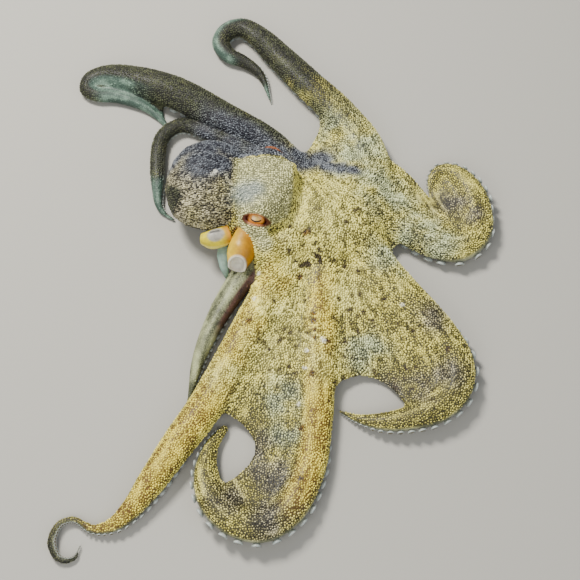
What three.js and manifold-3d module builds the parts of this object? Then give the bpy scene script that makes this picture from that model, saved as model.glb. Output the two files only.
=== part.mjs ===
// Common octopus (Octopus vulgaris) crawling over flat ground, life size, as a still model.
// Millimetres, +Z up, +X the way the head faces, +Y its left. The origin is under the middle of the whole
// animal, on the ground. Every arm is a swept body along a named route, each web is a sheet slung between
// two arms, and head, crown and mantle are lofts. What meets keeps GAP between the two bodies.
import * as THREE from "three";
import { mergeVertices } from "three/addons/utils/BufferGeometryUtils.js";
import Module from "manifold-3d";

const wasm = await Module();
wasm.setup();

// Fit and facets
const GAP = 0.35; // clear space left wherever one body is cut by its neighbour
const ARM_SIDES = 9; // faces round an arm, one of them flat beneath
const RING_STEPS = [20, 18, 12, 10]; // between rings, along each length of an arm; finer where it curls
const BODY_SIDES = 14; // faces round head and mantle
const LENGTHS_PER_ARM = 4;
const LENGTH_NAMES = ["base", "mid", "far", "tip"];

// Arms
const ARM_FLATNESS = 0.64; // height over width at the root, where the arm lies heavy
const TIP_FLATNESS = 0.88; // and at the tip, which is nearly round
const RISE_RUN = 75; // over this length an arm comes down from the crown to the ground
const CUTS = [0.27, 0.52, 0.76]; // where an arm is parted into its lengths, as shares of it

// Webs
const WEB_THICKNESS = 5;
const WEB_HEIGHT = { root: 0.86, rim: 0.72 }; // how high up an arm's side a web springs, as a share of its top
const WEB_SAG = { root: 0.05, rim: 0.55 }; // how far it sinks halfway across, as a share of its height
const WEB_ROWS = 7;
const WEB_COLUMNS = 4;

// Head, which is turned a little towards the animal's right
const HEAD = { x: -27, y: 93 };
const HEAD_TURN = THREE.MathUtils.degToRad(-11);
const EYE_BULGE = 20; // radius of the swelling that carries an eye
const BULGE_SPACING = 48; // between the centres of the two swellings
const BULGE_HEIGHT = 39;
const EYE_RADIUS = 12.5;
const EYE_OUT = 10; // from a swelling's centre to its eyeball's
const EYE_LOOK_UP = THREE.MathUtils.degToRad(26);

// Crown: the low dome where the eight arms meet, with the mouth beneath
const CROWN = { x: 43, y: 83, radius: 46, top: 40, bottom: 9 };

// Mantle: the sac behind the head
const MANTLE = { x: -80, y: 101 };
const MANTLE_TURN = THREE.MathUtils.degToRad(-8);

// Funnel: the tube under the mantle's edge on the right side, and the collar lobe beside it
const FUNNEL_BORE = 5.5;
const FUNNEL_DEPTH = 10;

// The stops of an arm's route are plan positions in mm. Its girth is its half width at even steps from
// root to tip. rise is how high its underside is at the crown. twist turns the sucker side outwards, in
// degrees at the tip, from the share of the arm where that turn begins.
const ARMS = {
  l1: {
    stops: [
      [49, 86], [96, 77], [144, 48], [171, 42], [190, 59], [193, 86], [186, 113], [172, 132], [157, 136],
      [148, 126], [147, 113], [152, 101],
    ],
    girth: [17, 19, 18, 17, 15.5, 15, 12.5, 7.5, 2.2],
    rise: 12,
    twist: -25,
    twistFrom: 0.4,
  },
  l2: {
    stops: [
      [56, 92], [79, 121], [80, 159], [54, 204], [17, 247], [-14, 285], [-36, 312], [-54, 325], [-70, 320],
      [-77, 304], [-69, 288], [-51, 279], [-33, 263], [-20, 224],
    ],
    girth: [16.5, 21, 20, 19, 18, 16, 12.5, 10.5, 6.5, 2.2],
    rise: 12,
    twist: 60,
    twistFrom: 0.68,
  },
  l3: {
    stops: [
      [43, 95], [-23, 171], [-73, 202], [-130, 235], [-178, 254], [-204, 259], [-219, 254], [-222, 242],
      [-212, 234], [-187, 231], [-156, 218], [-126, 190],
    ],
    girth: [15.5, 15.5, 16.5, 18.5, 19.5, 15.5, 8, 6.5, 2.2],
    rise: 12,
    twist: 60,
    twistFrom: 0.66,
  },
  l4: {
    stops: [[36, 93], [-29, 150], [-92, 187], [-118, 194], [-136, 178], [-138, 120], [-134, 92], [-117, 77]],
    girth: [14, 14, 12, 9.5, 9, 8, 2.2],
    rise: 8,
    twist: 50,
    twistFrom: 0.7,
  },
  r1: {
    stops: [
      [53, 77], [97, 10], [146, -55], [160, -86], [157, -112], [139, -131], [114, -140], [89, -143],
      [66, -139], [47, -130],
    ],
    girth: [17, 18.5, 18.5, 18, 17, 15, 11, 2.6],
    rise: 12,
    twist: 20,
    twistFrom: 0.45,
  },
  r2: {
    stops: [
      [43, 71], [30, -36], [25, -142], [17, -193], [0, -228], [-25, -244], [-51, -238], [-70, -219],
      [-77, -193], [-73, -167], [-62, -149],
    ],
    girth: [17, 17.5, 17, 16, 15.5, 16, 14.5, 5],
    rise: 12,
    twist: 20,
    twistFrom: 0.45,
  },
  r3: {
    stops: [
      [35, 77], [-24, -18], [-77, -125], [-105, -168], [-126, -201], [-144, -227], [-160, -241], [-178, -244],
      [-195, -235], [-208, -239], [-214, -256], [-206, -271], [-193, -271], [-186, -256],
    ],
    girth: [17, 18, 18.5, 18.5, 18, 18, 17, 14.5, 10, 4.2, 5, 2.2],
    rise: 12,
    twist: 50,
    twistFrom: 0.72,
  },
  r4: {
    stops: [[18, 77], [-16, 49], [-58, -10], [-86, -72], [-98, -131]],
    girth: [13, 14.5, 15, 12.5, 8, 2.4],
    rise: 3,
    twist: 55,
    twistFrom: 0.1,
  },
};

// A web runs between two arms, from the first to the last distance given along each. bow is how far the
// middle of its free edge is drawn aside, in plan.
const WEBS = [
  { one: "l1", other: "l2", along: [25, 125], and: [25, 75], bow: [24, 44] },
  { one: "l1", other: "l1", along: [148, 98], and: [205, 280], bow: [0, 0] },
  { one: "l2", other: "l3", along: [25, 165], and: [25, 66], bow: [24, -14] },
  { one: "r2", other: "r3", along: [25, 398], and: [25, 234], bow: [84, 4] },
  { one: "r1", other: "r2", along: [25, 275], and: [25, 195], bow: [10, 68] },
  { one: "l1", other: "r1", along: [25, 76], and: [25, 86], bow: [-20, -8] },
];

const LOOKS = {
  skin: new THREE.MeshStandardMaterial({ color: "#b7ad84", roughness: 0.55, metalness: 0 }),
  arm: new THREE.MeshStandardMaterial({ color: "#a89f72", roughness: 0.55, metalness: 0 }),
  web: new THREE.MeshStandardMaterial({ color: "#8f9078", roughness: 0.55, metalness: 0 }),
  mantle: new THREE.MeshStandardMaterial({ color: "#8b8a72", roughness: 0.6, metalness: 0 }),
  eye: new THREE.MeshStandardMaterial({ color: "#c98a2c", roughness: 0.15, metalness: 0 }),
  funnel: new THREE.MeshStandardMaterial({ color: "#c9901f", roughness: 0.35, metalness: 0 }),
};

// ---- Closed bodies ----

// A closed geometry from a row of rings with the same number of points each, with a fan over each end.
function loft(rings) {
  const sides = rings[0].length;
  const points = rings.flat();
  const triangles = [];
  for (let r = 0; r + 1 < rings.length; r++) {
    for (let s = 0; s < sides; s++) {
      const next = (s + 1) % sides;
      const [a, b] = [r * sides + s, r * sides + next];
      const [c, d] = [a + sides, b + sides];
      triangles.push(a, b, c, b, d, c);
    }
  }
  const endCap = (ring, turn) => {
    const middle = new THREE.Vector3();
    rings[ring].forEach((p) => middle.add(p));
    points.push(middle.divideScalar(sides));
    for (let s = 0; s < sides; s++) {
      const pair = [ring * sides + s, ring * sides + ((s + 1) % sides)];
      triangles.push(points.length - 1, pair[turn], pair[1 - turn]);
    }
  };
  endCap(0, 1);
  endCap(rings.length - 1, 0);
  return new THREE.BufferGeometry().setFromPoints(points).setIndex(triangles);
}

// A closed sheet: a grid of points on its upper face, its lower face a thickness beneath but never under
// the ground, and a wall all round.
function sheet(grid, thickness, spare) {
  const [rows, columns] = [grid.length, grid[0].length];
  const upper = grid.flat().map((p) => p.clone().setZ(p.z + spare));
  const lower = grid.flat().map((p) => p.clone().setZ(Math.max(p.z - thickness, 0.4) - spare));
  const at = (r, c) => r * columns + c;
  const under = rows * columns;
  const triangles = [];
  const quad = (a, b, c, d) => triangles.push(a, b, c, a, c, d);
  for (let r = 0; r + 1 < rows; r++) {
    for (let c = 0; c + 1 < columns; c++) {
      const [p, q, s, t] = [at(r, c), at(r, c + 1), at(r + 1, c + 1), at(r + 1, c)];
      quad(p, q, s, t);
      quad(under + p, under + t, under + s, under + q);
    }
  }
  const rim = [];
  for (let c = 0; c + 1 < columns; c++) rim.push(at(0, c));
  for (let r = 0; r + 1 < rows; r++) rim.push(at(r, columns - 1));
  for (let c = columns - 1; c > 0; c--) rim.push(at(rows - 1, c));
  for (let r = rows - 1; r > 0; r--) rim.push(at(r, 0));
  rim.forEach((p, i) => {
    const q = rim[(i + 1) % rim.length];
    quad(q, p, under + p, under + q);
  });
  return new THREE.BufferGeometry().setFromPoints([...upper, ...lower]).setIndex(triangles);
}

// The geometry as a solid that can be joined and cut, its faces turned outwards.
function solid(geometry) {
  const bare = new THREE.BufferGeometry().setAttribute("position", geometry.getAttribute("position"));
  if (geometry.index) bare.setIndex(geometry.index);
  const merged = mergeVertices(bare, 1e-3);
  const vertProperties = new Float32Array(merged.attributes.position.array);
  const triVerts = new Uint32Array(merged.index.array);
  const made = new wasm.Manifold(new wasm.Mesh({ numProp: 3, vertProperties, triVerts }));
  if (made.volume() > 0) return made;
  for (let i = 0; i < triVerts.length; i += 3) {
    [triVerts[i + 1], triVerts[i + 2]] = [triVerts[i + 2], triVerts[i + 1]];
  }
  return new wasm.Manifold(new wasm.Mesh({ numProp: 3, vertProperties, triVerts }));
}

function mesh(name, body, look) {
  const { numProp, vertProperties, triVerts } = body.getMesh();
  const positions = new Float32Array((vertProperties.length / numProp) * 3);
  for (let i = 0; i * numProp < vertProperties.length; i++) {
    positions.set(vertProperties.subarray(i * numProp, i * numProp + 3), i * 3);
  }
  const geometry = new THREE.BufferGeometry();
  geometry.setAttribute("position", new THREE.BufferAttribute(positions, 3));
  geometry.setIndex(new THREE.BufferAttribute(triVerts, 1));
  geometry.computeVertexNormals();
  const made = new THREE.Mesh(geometry, look);
  made.name = name;
  return made;
}

const largest = (body) => body.decompose().reduce((a, b) => (b.volume() > a.volume() ? b : a));

const smooth = (x) => THREE.MathUtils.smoothstep(x, 0, 1);

// A smooth reading of numbers that stand at even steps, at the share t of the way.
function alongSteps(numbers, t) {
  const steps = new THREE.SplineCurve(numbers.map((n, i) => new THREE.Vector2(i, n)));
  return steps.getPoint(THREE.MathUtils.clamp(t, 0, 1)).y;
}

// ---- Arms ----

class Arm {
  constructor(name, { stops, girth, rise, twist, twistFrom }) {
    Object.assign(this, { name, girth, rise, twist, twistFrom });
    this.route = new THREE.CatmullRomCurve3(stops.map(([x, y]) => new THREE.Vector3(x, y, 0)));
    this.length = this.route.getLength();
  }

  halfWidth(t) {
    return alongSteps(this.girth, t);
  }

  halfHeight(t) {
    return this.halfWidth(t) * THREE.MathUtils.lerp(ARM_FLATNESS, TIP_FLATNESS, t);
  }

  // Height of the underside over the ground.
  lift(t) {
    const left = Math.max(0, 1 - (t * this.length) / RISE_RUN);
    return this.rise * left * left;
  }

  // The ring round the arm at the share t of its length.
  ring(t, spare = 0) {
    const centre = this.route.getPointAt(t);
    const ahead = this.route.getTangentAt(t);
    const across = new THREE.Vector3(-ahead.y, ahead.x, 0);
    const [w, h] = [this.halfWidth(t) + spare, this.halfHeight(t) + spare];
    const turn = THREE.MathUtils.degToRad(this.twist) * smooth((t - this.twistFrom) / (1 - this.twistFrom));
    const section = Array.from({ length: ARM_SIDES }, (_, i) => {
      const angle = ((i + 0.5) / ARM_SIDES) * 2 * Math.PI - Math.PI / 2;
      const [side, up] = [w * Math.cos(angle), h * Math.sin(angle)];
      return [side * Math.cos(turn) - up * Math.sin(turn), side * Math.sin(turn) + up * Math.cos(turn)];
    });
    const lowest = Math.min(...section.map(([, up]) => up));
    return section.map(([side, up]) =>
      centre.clone().addScaledVector(across, side).setZ(up - lowest + this.lift(t) - spare),
    );
  }

  // One length of the arm, between two shares of it.
  body(from, to, spare = 0) {
    const step = RING_STEPS[CUTS.filter((cut) => cut < to).length];
    const count = Math.max(2, Math.round(((to - from) * this.length) / step));
    const stations = Array.from({ length: count + 1 }, (_, i) => from + ((to - from) * i) / count);
    return solid(loft(stations.map((t) => this.ring(t, spare))));
  }

  // The point inside the arm that its web springs from, at a distance along it. out is 0 where the web
  // leaves the crown and 1 at its free edge.
  webRoot(distance, out) {
    const t = THREE.MathUtils.clamp(distance / this.length, 0, 1);
    const top = this.lift(t) + 2 * this.halfHeight(t);
    return this.route.getPointAt(t).setZ(top * THREE.MathUtils.lerp(WEB_HEIGHT.root, WEB_HEIGHT.rim, out));
  }
}

// ---- Webs ----

function webBody({ one, other, along, and, bow }, arms, spare = 0) {
  const grid = Array.from({ length: WEB_ROWS + 1 }, (_, r) => {
    const out = r / WEB_ROWS;
    const from = arms[one].webRoot(THREE.MathUtils.lerp(...along, out), out);
    const to = arms[other].webRoot(THREE.MathUtils.lerp(...and, out), out);
    const middle = from.clone().lerp(to, 0.5);
    middle.x += bow[0] * out ** 3;
    middle.y += bow[1] * out ** 3;
    middle.z *= 1 - 2 * THREE.MathUtils.lerp(WEB_SAG.root, WEB_SAG.rim, out ** 2);
    const line = new THREE.QuadraticBezierCurve3(from, middle, to);
    return Array.from({ length: WEB_COLUMNS + 1 }, (_, c) => line.getPoint(c / WEB_COLUMNS));
  });
  return solid(sheet(grid, WEB_THICKNESS, spare));
}

// ---- Head, crown, mantle, eyes, funnel ----

// A rounded body along a level axis. Each station is [distance along the axis, half width, top, bottom];
// squareness over 2 gives fuller corners than an ellipse.
function trunk(place, turn, stations, squareness, spare = 0) {
  const ahead = new THREE.Vector3(Math.cos(turn), Math.sin(turn), 0);
  const across = new THREE.Vector3(-ahead.y, ahead.x, 0);
  const full = (v) => Math.sign(v) * Math.abs(v) ** (2 / squareness);
  const last = stations.length - 1;
  const rings = stations.map(([along, width, top, bottom], n) => {
    const end = n === 0 ? -spare : n === last ? spare : 0;
    const [middle, half] = [(top + bottom) / 2, (top - bottom) / 2 + spare];
    return Array.from({ length: BODY_SIDES }, (_, i) => {
      const angle = ((i + 0.5) / BODY_SIDES) * 2 * Math.PI;
      return new THREE.Vector3(place.x, place.y, middle + half * full(Math.sin(angle)))
        .addScaledVector(ahead, along + end)
        .addScaledVector(across, (width + spare) * full(Math.cos(angle)));
    });
  });
  return solid(loft(rings));
}

// The middle of the swelling under an eye: side is 1 on the animal's left and -1 on its right.
function bulgeCentre(side) {
  const across = new THREE.Vector3(-Math.sin(HEAD_TURN), Math.cos(HEAD_TURN), 0);
  return new THREE.Vector3(HEAD.x, HEAD.y, BULGE_HEIGHT).addScaledVector(across, (side * BULGE_SPACING) / 2);
}

function eyeCentre(side) {
  const across = new THREE.Vector3(-Math.sin(HEAD_TURN), Math.cos(HEAD_TURN), 0);
  return bulgeCentre(side)
    .addScaledVector(across, side * EYE_OUT * Math.cos(EYE_LOOK_UP))
    .add(new THREE.Vector3(0, 0, EYE_OUT * Math.sin(EYE_LOOK_UP)));
}

function ball(centre, radius, around = 12, down = 7) {
  return solid(new THREE.SphereGeometry(radius, around, down).translate(centre.x, centre.y, centre.z));
}

function headBody(spare = 0) {
  const stations = [
    [-33, 27, 50, 10],
    [-24, 35, 57, 7],
    [-6, 38, 60, 6],
    [10, 38, 60, 6],
    [21, 34, 58, 7],
    [27, 27, 52, 10],
  ];
  const block = trunk(HEAD, HEAD_TURN, stations, 2.6, spare);
  return [1, -1].reduce((head, side) => head.add(ball(bulgeCentre(side), EYE_BULGE + spare)), block);
}

function crownBody(spare = 0) {
  const { x, y, radius, top, bottom } = CROWN;
  const dome = [
    [0, bottom - spare],
    [radius * 0.7 + spare, bottom - spare],
    [radius + spare, (top + bottom) / 2],
    [radius * 0.7 + spare, top - 6 + spare],
    [radius * 0.35 + spare, top - 1 + spare],
    [0, top + spare],
  ];
  const profile = dome.map(([r, z]) => new THREE.Vector2(r, z));
  return solid(new THREE.LatheGeometry(profile, BODY_SIDES).rotateX(Math.PI / 2).translate(x, y, 0));
}

function mantleBody(spare = 0) {
  const stations = [
    [-44, 12, 42, 24],
    [-40, 26, 52, 13],
    [-30, 40, 61, 6],
    [-14, 48, 66, 3],
    [4, 50, 67, 3],
    [20, 44, 63, 4],
    [34, 33, 55, 8],
  ];
  return trunk(MANTLE, MANTLE_TURN, stations, 2.15, spare);
}

// A short bent tube of flesh along a route, with its girth at even steps, and a bore in its far end where
// bore is over nothing.
function spout(stops, girth, bore, spare = 0) {
  const route = new THREE.CatmullRomCurve3(stops.map(([x, y, z]) => new THREE.Vector3(x, y, z)));
  const ringAt = (t, radius, past = 0) => {
    const ahead = route.getTangentAt(t);
    const across = new THREE.Vector3(-ahead.y, ahead.x, 0).normalize();
    const up = ahead.clone().cross(across);
    const centre = route.getPointAt(t).addScaledVector(ahead, past);
    return Array.from({ length: ARM_SIDES }, (_, i) => {
      const angle = (i / ARM_SIDES) * 2 * Math.PI;
      return centre
        .clone()
        .addScaledVector(across, radius * Math.cos(angle))
        .addScaledVector(up, radius * Math.sin(angle));
    });
  };
  const count = 6;
  const outer = Array.from({ length: count + 1 }, (_, i) => {
    const end = i === 0 ? -spare : i === count ? spare : 0;
    return ringAt(i / count, alongSteps(girth, i / count) + spare, end);
  });
  const tube = solid(loft(outer));
  if (!bore || spare) return tube;
  const deep = 1 - FUNNEL_DEPTH / route.getLength();
  return tube.subtract(solid(loft([ringAt(deep, bore * 0.6), ringAt(1, bore), ringAt(1, bore, 1)])));
}

const funnelBody = (spare = 0) =>
  spout([[-38, 50, 29], [-45, 37, 29], [-49, 24, 28], [-52, 11, 25]], [14, 14.5, 14, 9.5], FUNNEL_BORE, spare);

const collarBody = (spare = 0) =>
  spout([[-60, 47, 30], [-68, 44, 30], [-78, 42, 29], [-89, 43, 28]], [10, 10.5, 10, 6], 0, spare);

// ---- The octopus: each body is cut by every one named before it ----

const octopus = new THREE.Group();
const taken = [];

// Adds a body, less what is already there. grown is the same body with GAP all round.
function place(name, body, grown, look) {
  const box = grown.boundingBox();
  const meets = ({ box: b }) => [0, 1, 2].every((i) => b.min[i] < box.max[i] && box.min[i] < b.max[i]);
  let left = body;
  for (const other of taken.filter(meets)) left = left.subtract(other.grown);
  octopus.add(mesh(name, largest(left), look));
  taken.push({ grown, box });
}

place("eye_left", ball(eyeCentre(1), EYE_RADIUS), ball(eyeCentre(1), EYE_RADIUS + GAP), LOOKS.eye);
place("eye_right", ball(eyeCentre(-1), EYE_RADIUS), ball(eyeCentre(-1), EYE_RADIUS + GAP), LOOKS.eye);
place("head", headBody(), headBody(GAP), LOOKS.skin);
place("mantle", mantleBody(), mantleBody(GAP), LOOKS.mantle);
place("funnel", funnelBody(), funnelBody(GAP), LOOKS.funnel);
place("collar_lobe", collarBody(), collarBody(GAP), LOOKS.funnel);
place("crown", crownBody(), crownBody(GAP), LOOKS.skin);

const arms = {};
for (const [name, shape] of Object.entries(ARMS)) arms[name] = new Arm(name, shape);

for (const name of ["r3", "r2", "r1", "l1", "l2", "l3", "l4", "r4"]) {
  const arm = arms[name];
  const ends = [0, ...CUTS, 1];
  const slit = GAP / 2 / arm.length;
  for (let i = 0; i < LENGTHS_PER_ARM; i++) {
    const from = ends[i] + (i > 0 ? slit : 0);
    const to = ends[i + 1] - (i + 1 < LENGTHS_PER_ARM ? slit : 0);
    place(`arm_${name}_${LENGTH_NAMES[i]}`, arm.body(from, to), arm.body(from, to, GAP), LOOKS.arm);
  }
}

for (const web of WEBS) {
  const name = web.one === web.other ? `web_${web.one}_curl` : `web_${web.one}_${web.other}`;
  place(name, webBody(web, arms), webBody(web, arms, GAP), LOOKS.web);
}

// The whole animal is set with its middle over the origin and its lowest flats on the ground.
const extent = new THREE.Box3().setFromObject(octopus);
const middle = extent.getCenter(new THREE.Vector3());
octopus.position.set(-middle.x, -middle.y, -extent.min.z);

const group = new THREE.Group();
group.add(octopus);

export default group;
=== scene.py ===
import math

import bmesh
import bpy
import numpy as np
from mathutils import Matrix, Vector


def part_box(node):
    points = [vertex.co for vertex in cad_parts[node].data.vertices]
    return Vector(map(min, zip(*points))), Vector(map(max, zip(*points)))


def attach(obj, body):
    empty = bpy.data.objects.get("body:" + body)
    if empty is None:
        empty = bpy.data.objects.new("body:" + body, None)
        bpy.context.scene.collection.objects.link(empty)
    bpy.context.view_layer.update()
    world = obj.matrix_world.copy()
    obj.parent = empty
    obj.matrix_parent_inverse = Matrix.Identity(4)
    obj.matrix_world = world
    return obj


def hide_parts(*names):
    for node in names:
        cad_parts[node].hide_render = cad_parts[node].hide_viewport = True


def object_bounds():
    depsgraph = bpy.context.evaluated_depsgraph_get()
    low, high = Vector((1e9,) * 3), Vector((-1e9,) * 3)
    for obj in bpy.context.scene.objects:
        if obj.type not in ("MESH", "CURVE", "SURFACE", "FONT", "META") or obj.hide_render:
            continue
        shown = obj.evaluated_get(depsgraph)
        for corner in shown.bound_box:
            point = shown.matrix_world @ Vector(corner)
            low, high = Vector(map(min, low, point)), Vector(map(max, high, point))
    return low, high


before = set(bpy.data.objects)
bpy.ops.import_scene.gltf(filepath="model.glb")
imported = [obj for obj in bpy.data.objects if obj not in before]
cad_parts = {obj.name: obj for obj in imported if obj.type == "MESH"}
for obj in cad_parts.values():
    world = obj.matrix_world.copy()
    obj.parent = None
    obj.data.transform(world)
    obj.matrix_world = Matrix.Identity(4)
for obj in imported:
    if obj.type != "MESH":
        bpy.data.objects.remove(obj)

import openvdb
from mathutils import Vector

CAD_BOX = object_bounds()
MM = 0.001
SEED = 7
BATCH = 5000               # points that are measured at a time, to save memory

# ---- Sizes, mm ----

VOXEL = 2.2  # grid that the skin is drawn over
COAT_DEPTH = 1.1           # the skin lies this far inside the solids, to leave room for the granules
FAR = 14.0                 # distances over this aren't kept

ARM_SIDES = 9              # flats round an arm's solid
ARM_FLATNESS = 0.64        # an arm's height over its width, at its root and at its tip
TIP_FLATNESS = 0.88
RISE_RUN = 75.0            # an arm comes down to the ground over this length
ROLL_RUN = 0.25            # and turns its suckers outwards over this share of its length
SAMPLE = 1.5               # between samples along an arm's route
ARM_RUN = 42.0             # length of arm that is drawn at a time
BELLY = 2.3                # room under an arm's belly for its suckers, at full girth
BELLY_SHARE = 0.17         # and at most this share of the arm's half width
BELLY_EDGE = 1.6           # rounding along the flat of the belly
ARM_FILLETS = (14.0, 2.5)  # between an arm and what it meets, by the crown and away from it

WEB_THICKNESS = 3.4
WEB_HEIGHT = (0.86, 0.72)  # where a web leaves its arms, over their height, at the mouth and at its rim
WEB_SAG = (0.05, 0.55)     # how far its middle hangs below that, at the mouth and at its rim
WEB_ROWS, WEB_COLUMNS = 150, 120
WEB_MARGIN = 9.0
WEB_SPREAD = 1.6           # how far a point of the sheet tells of the height round it
WEB_PASSES = (84, 6)       # passes that carry the height into what is bare, then passes that soften it all
WEB_FILLET = 7.0

# Head and mantle are rounded bodies: (distance along the axis, half width, top, bottom) at each station.
HEAD = (-27.0, 93.0)
HEAD_TURN = math.radians(-11)
HEAD_STATIONS = [
    (-33, 27, 50, 10), (-24, 35, 57, 7), (-6, 38, 60, 6), (10, 38, 60, 6), (21, 34, 58, 7), (27, 27, 52, 10),
]
HEAD_SQUARENESS = 2.6      # of its section: 2 is an oval
HEAD_FILLET = 11.0
FINE_HALF = (36, 48)       # faces this near its middle, along and across it, are made finer
FINE_ABOVE = 30            # where they lie above this height
EYE_BULGE = 20.0
BULGE_SPACING = 48.0
BULGE_HEIGHT = 39.0
EYE_RADIUS = 12.5
EYE_OUT = 10.0
EYE_LOOK_UP = math.radians(26)
LID = 2.5                  # thickness of an eyelid
EYE_FILLETS = (9.0, 5.0)   # round the bulge, and round the lids
EYE_OPENING = (10.2, 4.7)  # half width and half height of the slit between the lids
EYE_OPENING_AT = (2.2, -1.0)  # the slit's middle, forward of the gaze and above it
EYE_OPENING_BEND = 0.28    # how much its corners hang
EYE_OPENING_DEPTH = 1.6    # how far it cuts in under the eyeball's surface
LID_EDGE = 1.3
# Flesh over the plain head: a squared block on top, and a lap that runs from the cheek down to the rear
# right arm and hides the funnel's root. Balls are (middle, radius, fillet).
BLOCK = (-22.0, 103.5, 38.5)
BLOCK_HALF = (25.5, 17.0, 18.5)  # half its size each way
BLOCK_EDGE = 5.5
BLOCK_FILLET = 4.0
CHEEK = ((-38.0, 49.0, 32.0), 13.5, 6.0)
LAP = [(-34, 46, 33), (-25, 31, 30), (-20, 14, 21), (-24, -10, 12)]
LAP_RADII = (11.5, 12.5, 10.5, 8.5)
LAP_FILLET = 6.0
CHIN = ((-5.0, 40.0, 20.0), 17.0, 8.0)      # fills in from the lap to the crown
COLLAR = ((-56.0, 58.0, 24.0), 11.5, 6.0)   # roots the lobe and the funnel between head and mantle

CROWN = (43.0, 83.0)
CROWN_SIZE = (46.0, 40.0, 9.0)  # radius, top, bottom
CROWN_SQUARENESS = 2.4
CROWN_FILLET = 13.0

MANTLE = (-80.0, 101.0)
MANTLE_TURN = math.radians(-8)
MANTLE_STATIONS = [
    (-44, 12, 42, 24), (-40, 26, 52, 13), (-30, 40, 61, 6), (-14, 48, 66, 3), (4, 50, 67, 3), (20, 44, 63, 4),
    (34, 33, 55, 8),
]
MANTLE_SQUARENESS = 2.15
MANTLE_FILLET = 8.0

# Bent tubes: the stops of the middle line, and the radius at even steps along it.
FUNNEL_STOPS = [(-38, 50, 29), (-45, 37, 29.5), (-49, 24, 30), (-52, 11, 29)]
FUNNEL_GIRTH = (14, 14.5, 14, 9.5)
LOBE_STOPS = [(-60, 47, 30), (-68, 44, 30), (-78, 42, 29), (-89, 43, 28)]
LOBE_GIRTH = (10, 10.5, 10, 6)
FOLD_STOPS = [(-66, 38, 24), (-67, 27, 19), (-65, 17, 12), (-62, 8, 6)]

# Each arm's route on the ground, half width at even steps along it, and how far its root stands up. From
# the share start of its length it turns on its side, by twist degrees at the tip. Roll turns its sucker
# rows outwards, as (degrees at the tip, share of the length where it starts).
ARMS = {
    "l1": dict(
        stops=[(49, 86), (96, 77), (144, 48), (171, 42), (190, 59), (193, 86), (186, 113), (172, 132),
               (157, 136), (148, 126), (147, 113), (152, 101)],
        girth=(17, 19, 18, 17, 15.5, 15, 12.5, 7.5, 2.2), rise=12, twist=-25, start=0.4, roll=(-50, 0.25)),
    "l2": dict(
        stops=[(56, 92), (79, 121), (80, 159), (54, 204), (17, 247), (-14, 285), (-36, 312), (-54, 325),
               (-70, 320), (-77, 304), (-69, 288), (-51, 279), (-33, 263), (-20, 224)],
        girth=(16.5, 21, 20, 19, 18, 16, 12.5, 10.5, 6.5, 2.2), rise=12, twist=60, start=0.68,
        roll=(0, 0.6)),
    "l3": dict(
        stops=[(43, 95), (-23, 171), (-73, 202), (-130, 235), (-178, 254), (-204, 259), (-219, 254),
               (-222, 242), (-212, 234), (-187, 231), (-156, 218), (-126, 190)],
        girth=(15.5, 15.5, 16.5, 18.5, 19.5, 15.5, 8, 6.5, 2.2), rise=12, twist=60, start=0.66,
        roll=(0, 0.6)),
    "l4": dict(
        stops=[(36, 93), (-29, 150), (-92, 187), (-118, 194), (-136, 178), (-138, 120), (-134, 92),
               (-117, 77)],
        girth=(14, 14, 12, 9.5, 9, 8, 2.2), rise=8, twist=50, start=0.7, roll=(0, 0.6)),
    "r1": dict(
        stops=[(53, 77), (97, 10), (146, -55), (160, -86), (157, -112), (139, -131), (114, -140), (89, -143),
               (66, -139), (47, -130)],
        girth=(17, 18.5, 18.5, 18, 17, 15, 11, 2.6), rise=12, twist=20, start=0.45, roll=(40, 0.3)),
    "r2": dict(
        stops=[(43, 71), (30, -36), (25, -142), (17, -193), (0, -228), (-25, -244), (-51, -238), (-70, -219),
               (-77, -193), (-73, -167), (-62, -149)],
        girth=(17, 17.5, 17, 16, 15.5, 16, 14.5, 5), rise=12, twist=20, start=0.45, roll=(40, 0.4)),
    "r3": dict(
        stops=[(35, 77), (-24, -18), (-77, -125), (-105, -168), (-126, -201), (-144, -227), (-160, -241),
               (-178, -244), (-195, -235), (-208, -239), (-214, -256), (-206, -271), (-193, -271),
               (-186, -256)],
        girth=(17, 18, 18.5, 18.5, 18, 18, 17, 14.5, 10, 4.2, 5, 2.2), rise=12, twist=50, start=0.72,
        roll=(60, 0.55)),
    "r4": dict(
        stops=[(18, 77), (-16, 49), (-58, -10), (-86, -72), (-98, -131)],
        girth=(13, 14.5, 15, 12.5, 8, 2.4), rise=3, twist=55, start=0.1, roll=(-20, 0.1)),
}

# Each web joins a stretch of one arm to a stretch of another, given from the mouth out, and the middle of
# its rim is drawn aside by the last pair.
WEBS = [
    ("l1", "l2", (25, 125), (25, 75), (24, 44)),
    ("l1", "l1", (148, 98), (205, 280), (0, 0)),
    ("l2", "l3", (25, 165), (25, 66), (24, -14)),
    ("r2", "r3", (25, 398), (25, 234), (84, 4)),
    ("r1", "r2", (25, 275), (25, 195), (10, 68)),
    ("l1", "r1", (25, 76), (25, 86), (-20, -8)),
    ("l3", "l3", (338, 236), (352, 436), (0, 0)),
]

# Room that the head, its eyes and the mantle take up, as two corners.
HEAD_ROOM = ([-80, -15, -5], [35, 165, 80])
EYE_ROOM = ([-80, 25, -5], [25, 165, 80])
MANTLE_ROOM = ([-140, 30, -5], [-25, 170, 80])

FLESH = ["head", "mantle", "crown"]
FLESH += [f"arm_{arm}_{part}" for arm in ARMS for part in ("base", "mid", "far", "tip")]
FLESH += ["web_l1_l2", "web_l1_curl", "web_l2_l3", "web_r2_r3", "web_r1_r2", "web_l1_r1"]


# ---- Small tools ----

def smooth(x):
    x = np.clip(x, 0.0, 1.0)
    return x * x * (3.0 - 2.0 * x)


def ramp(x, low, high):
    """0 at low and below, 1 at high and above, eased between; low may be the greater."""
    return smooth((x - low) / (high - low))


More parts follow.
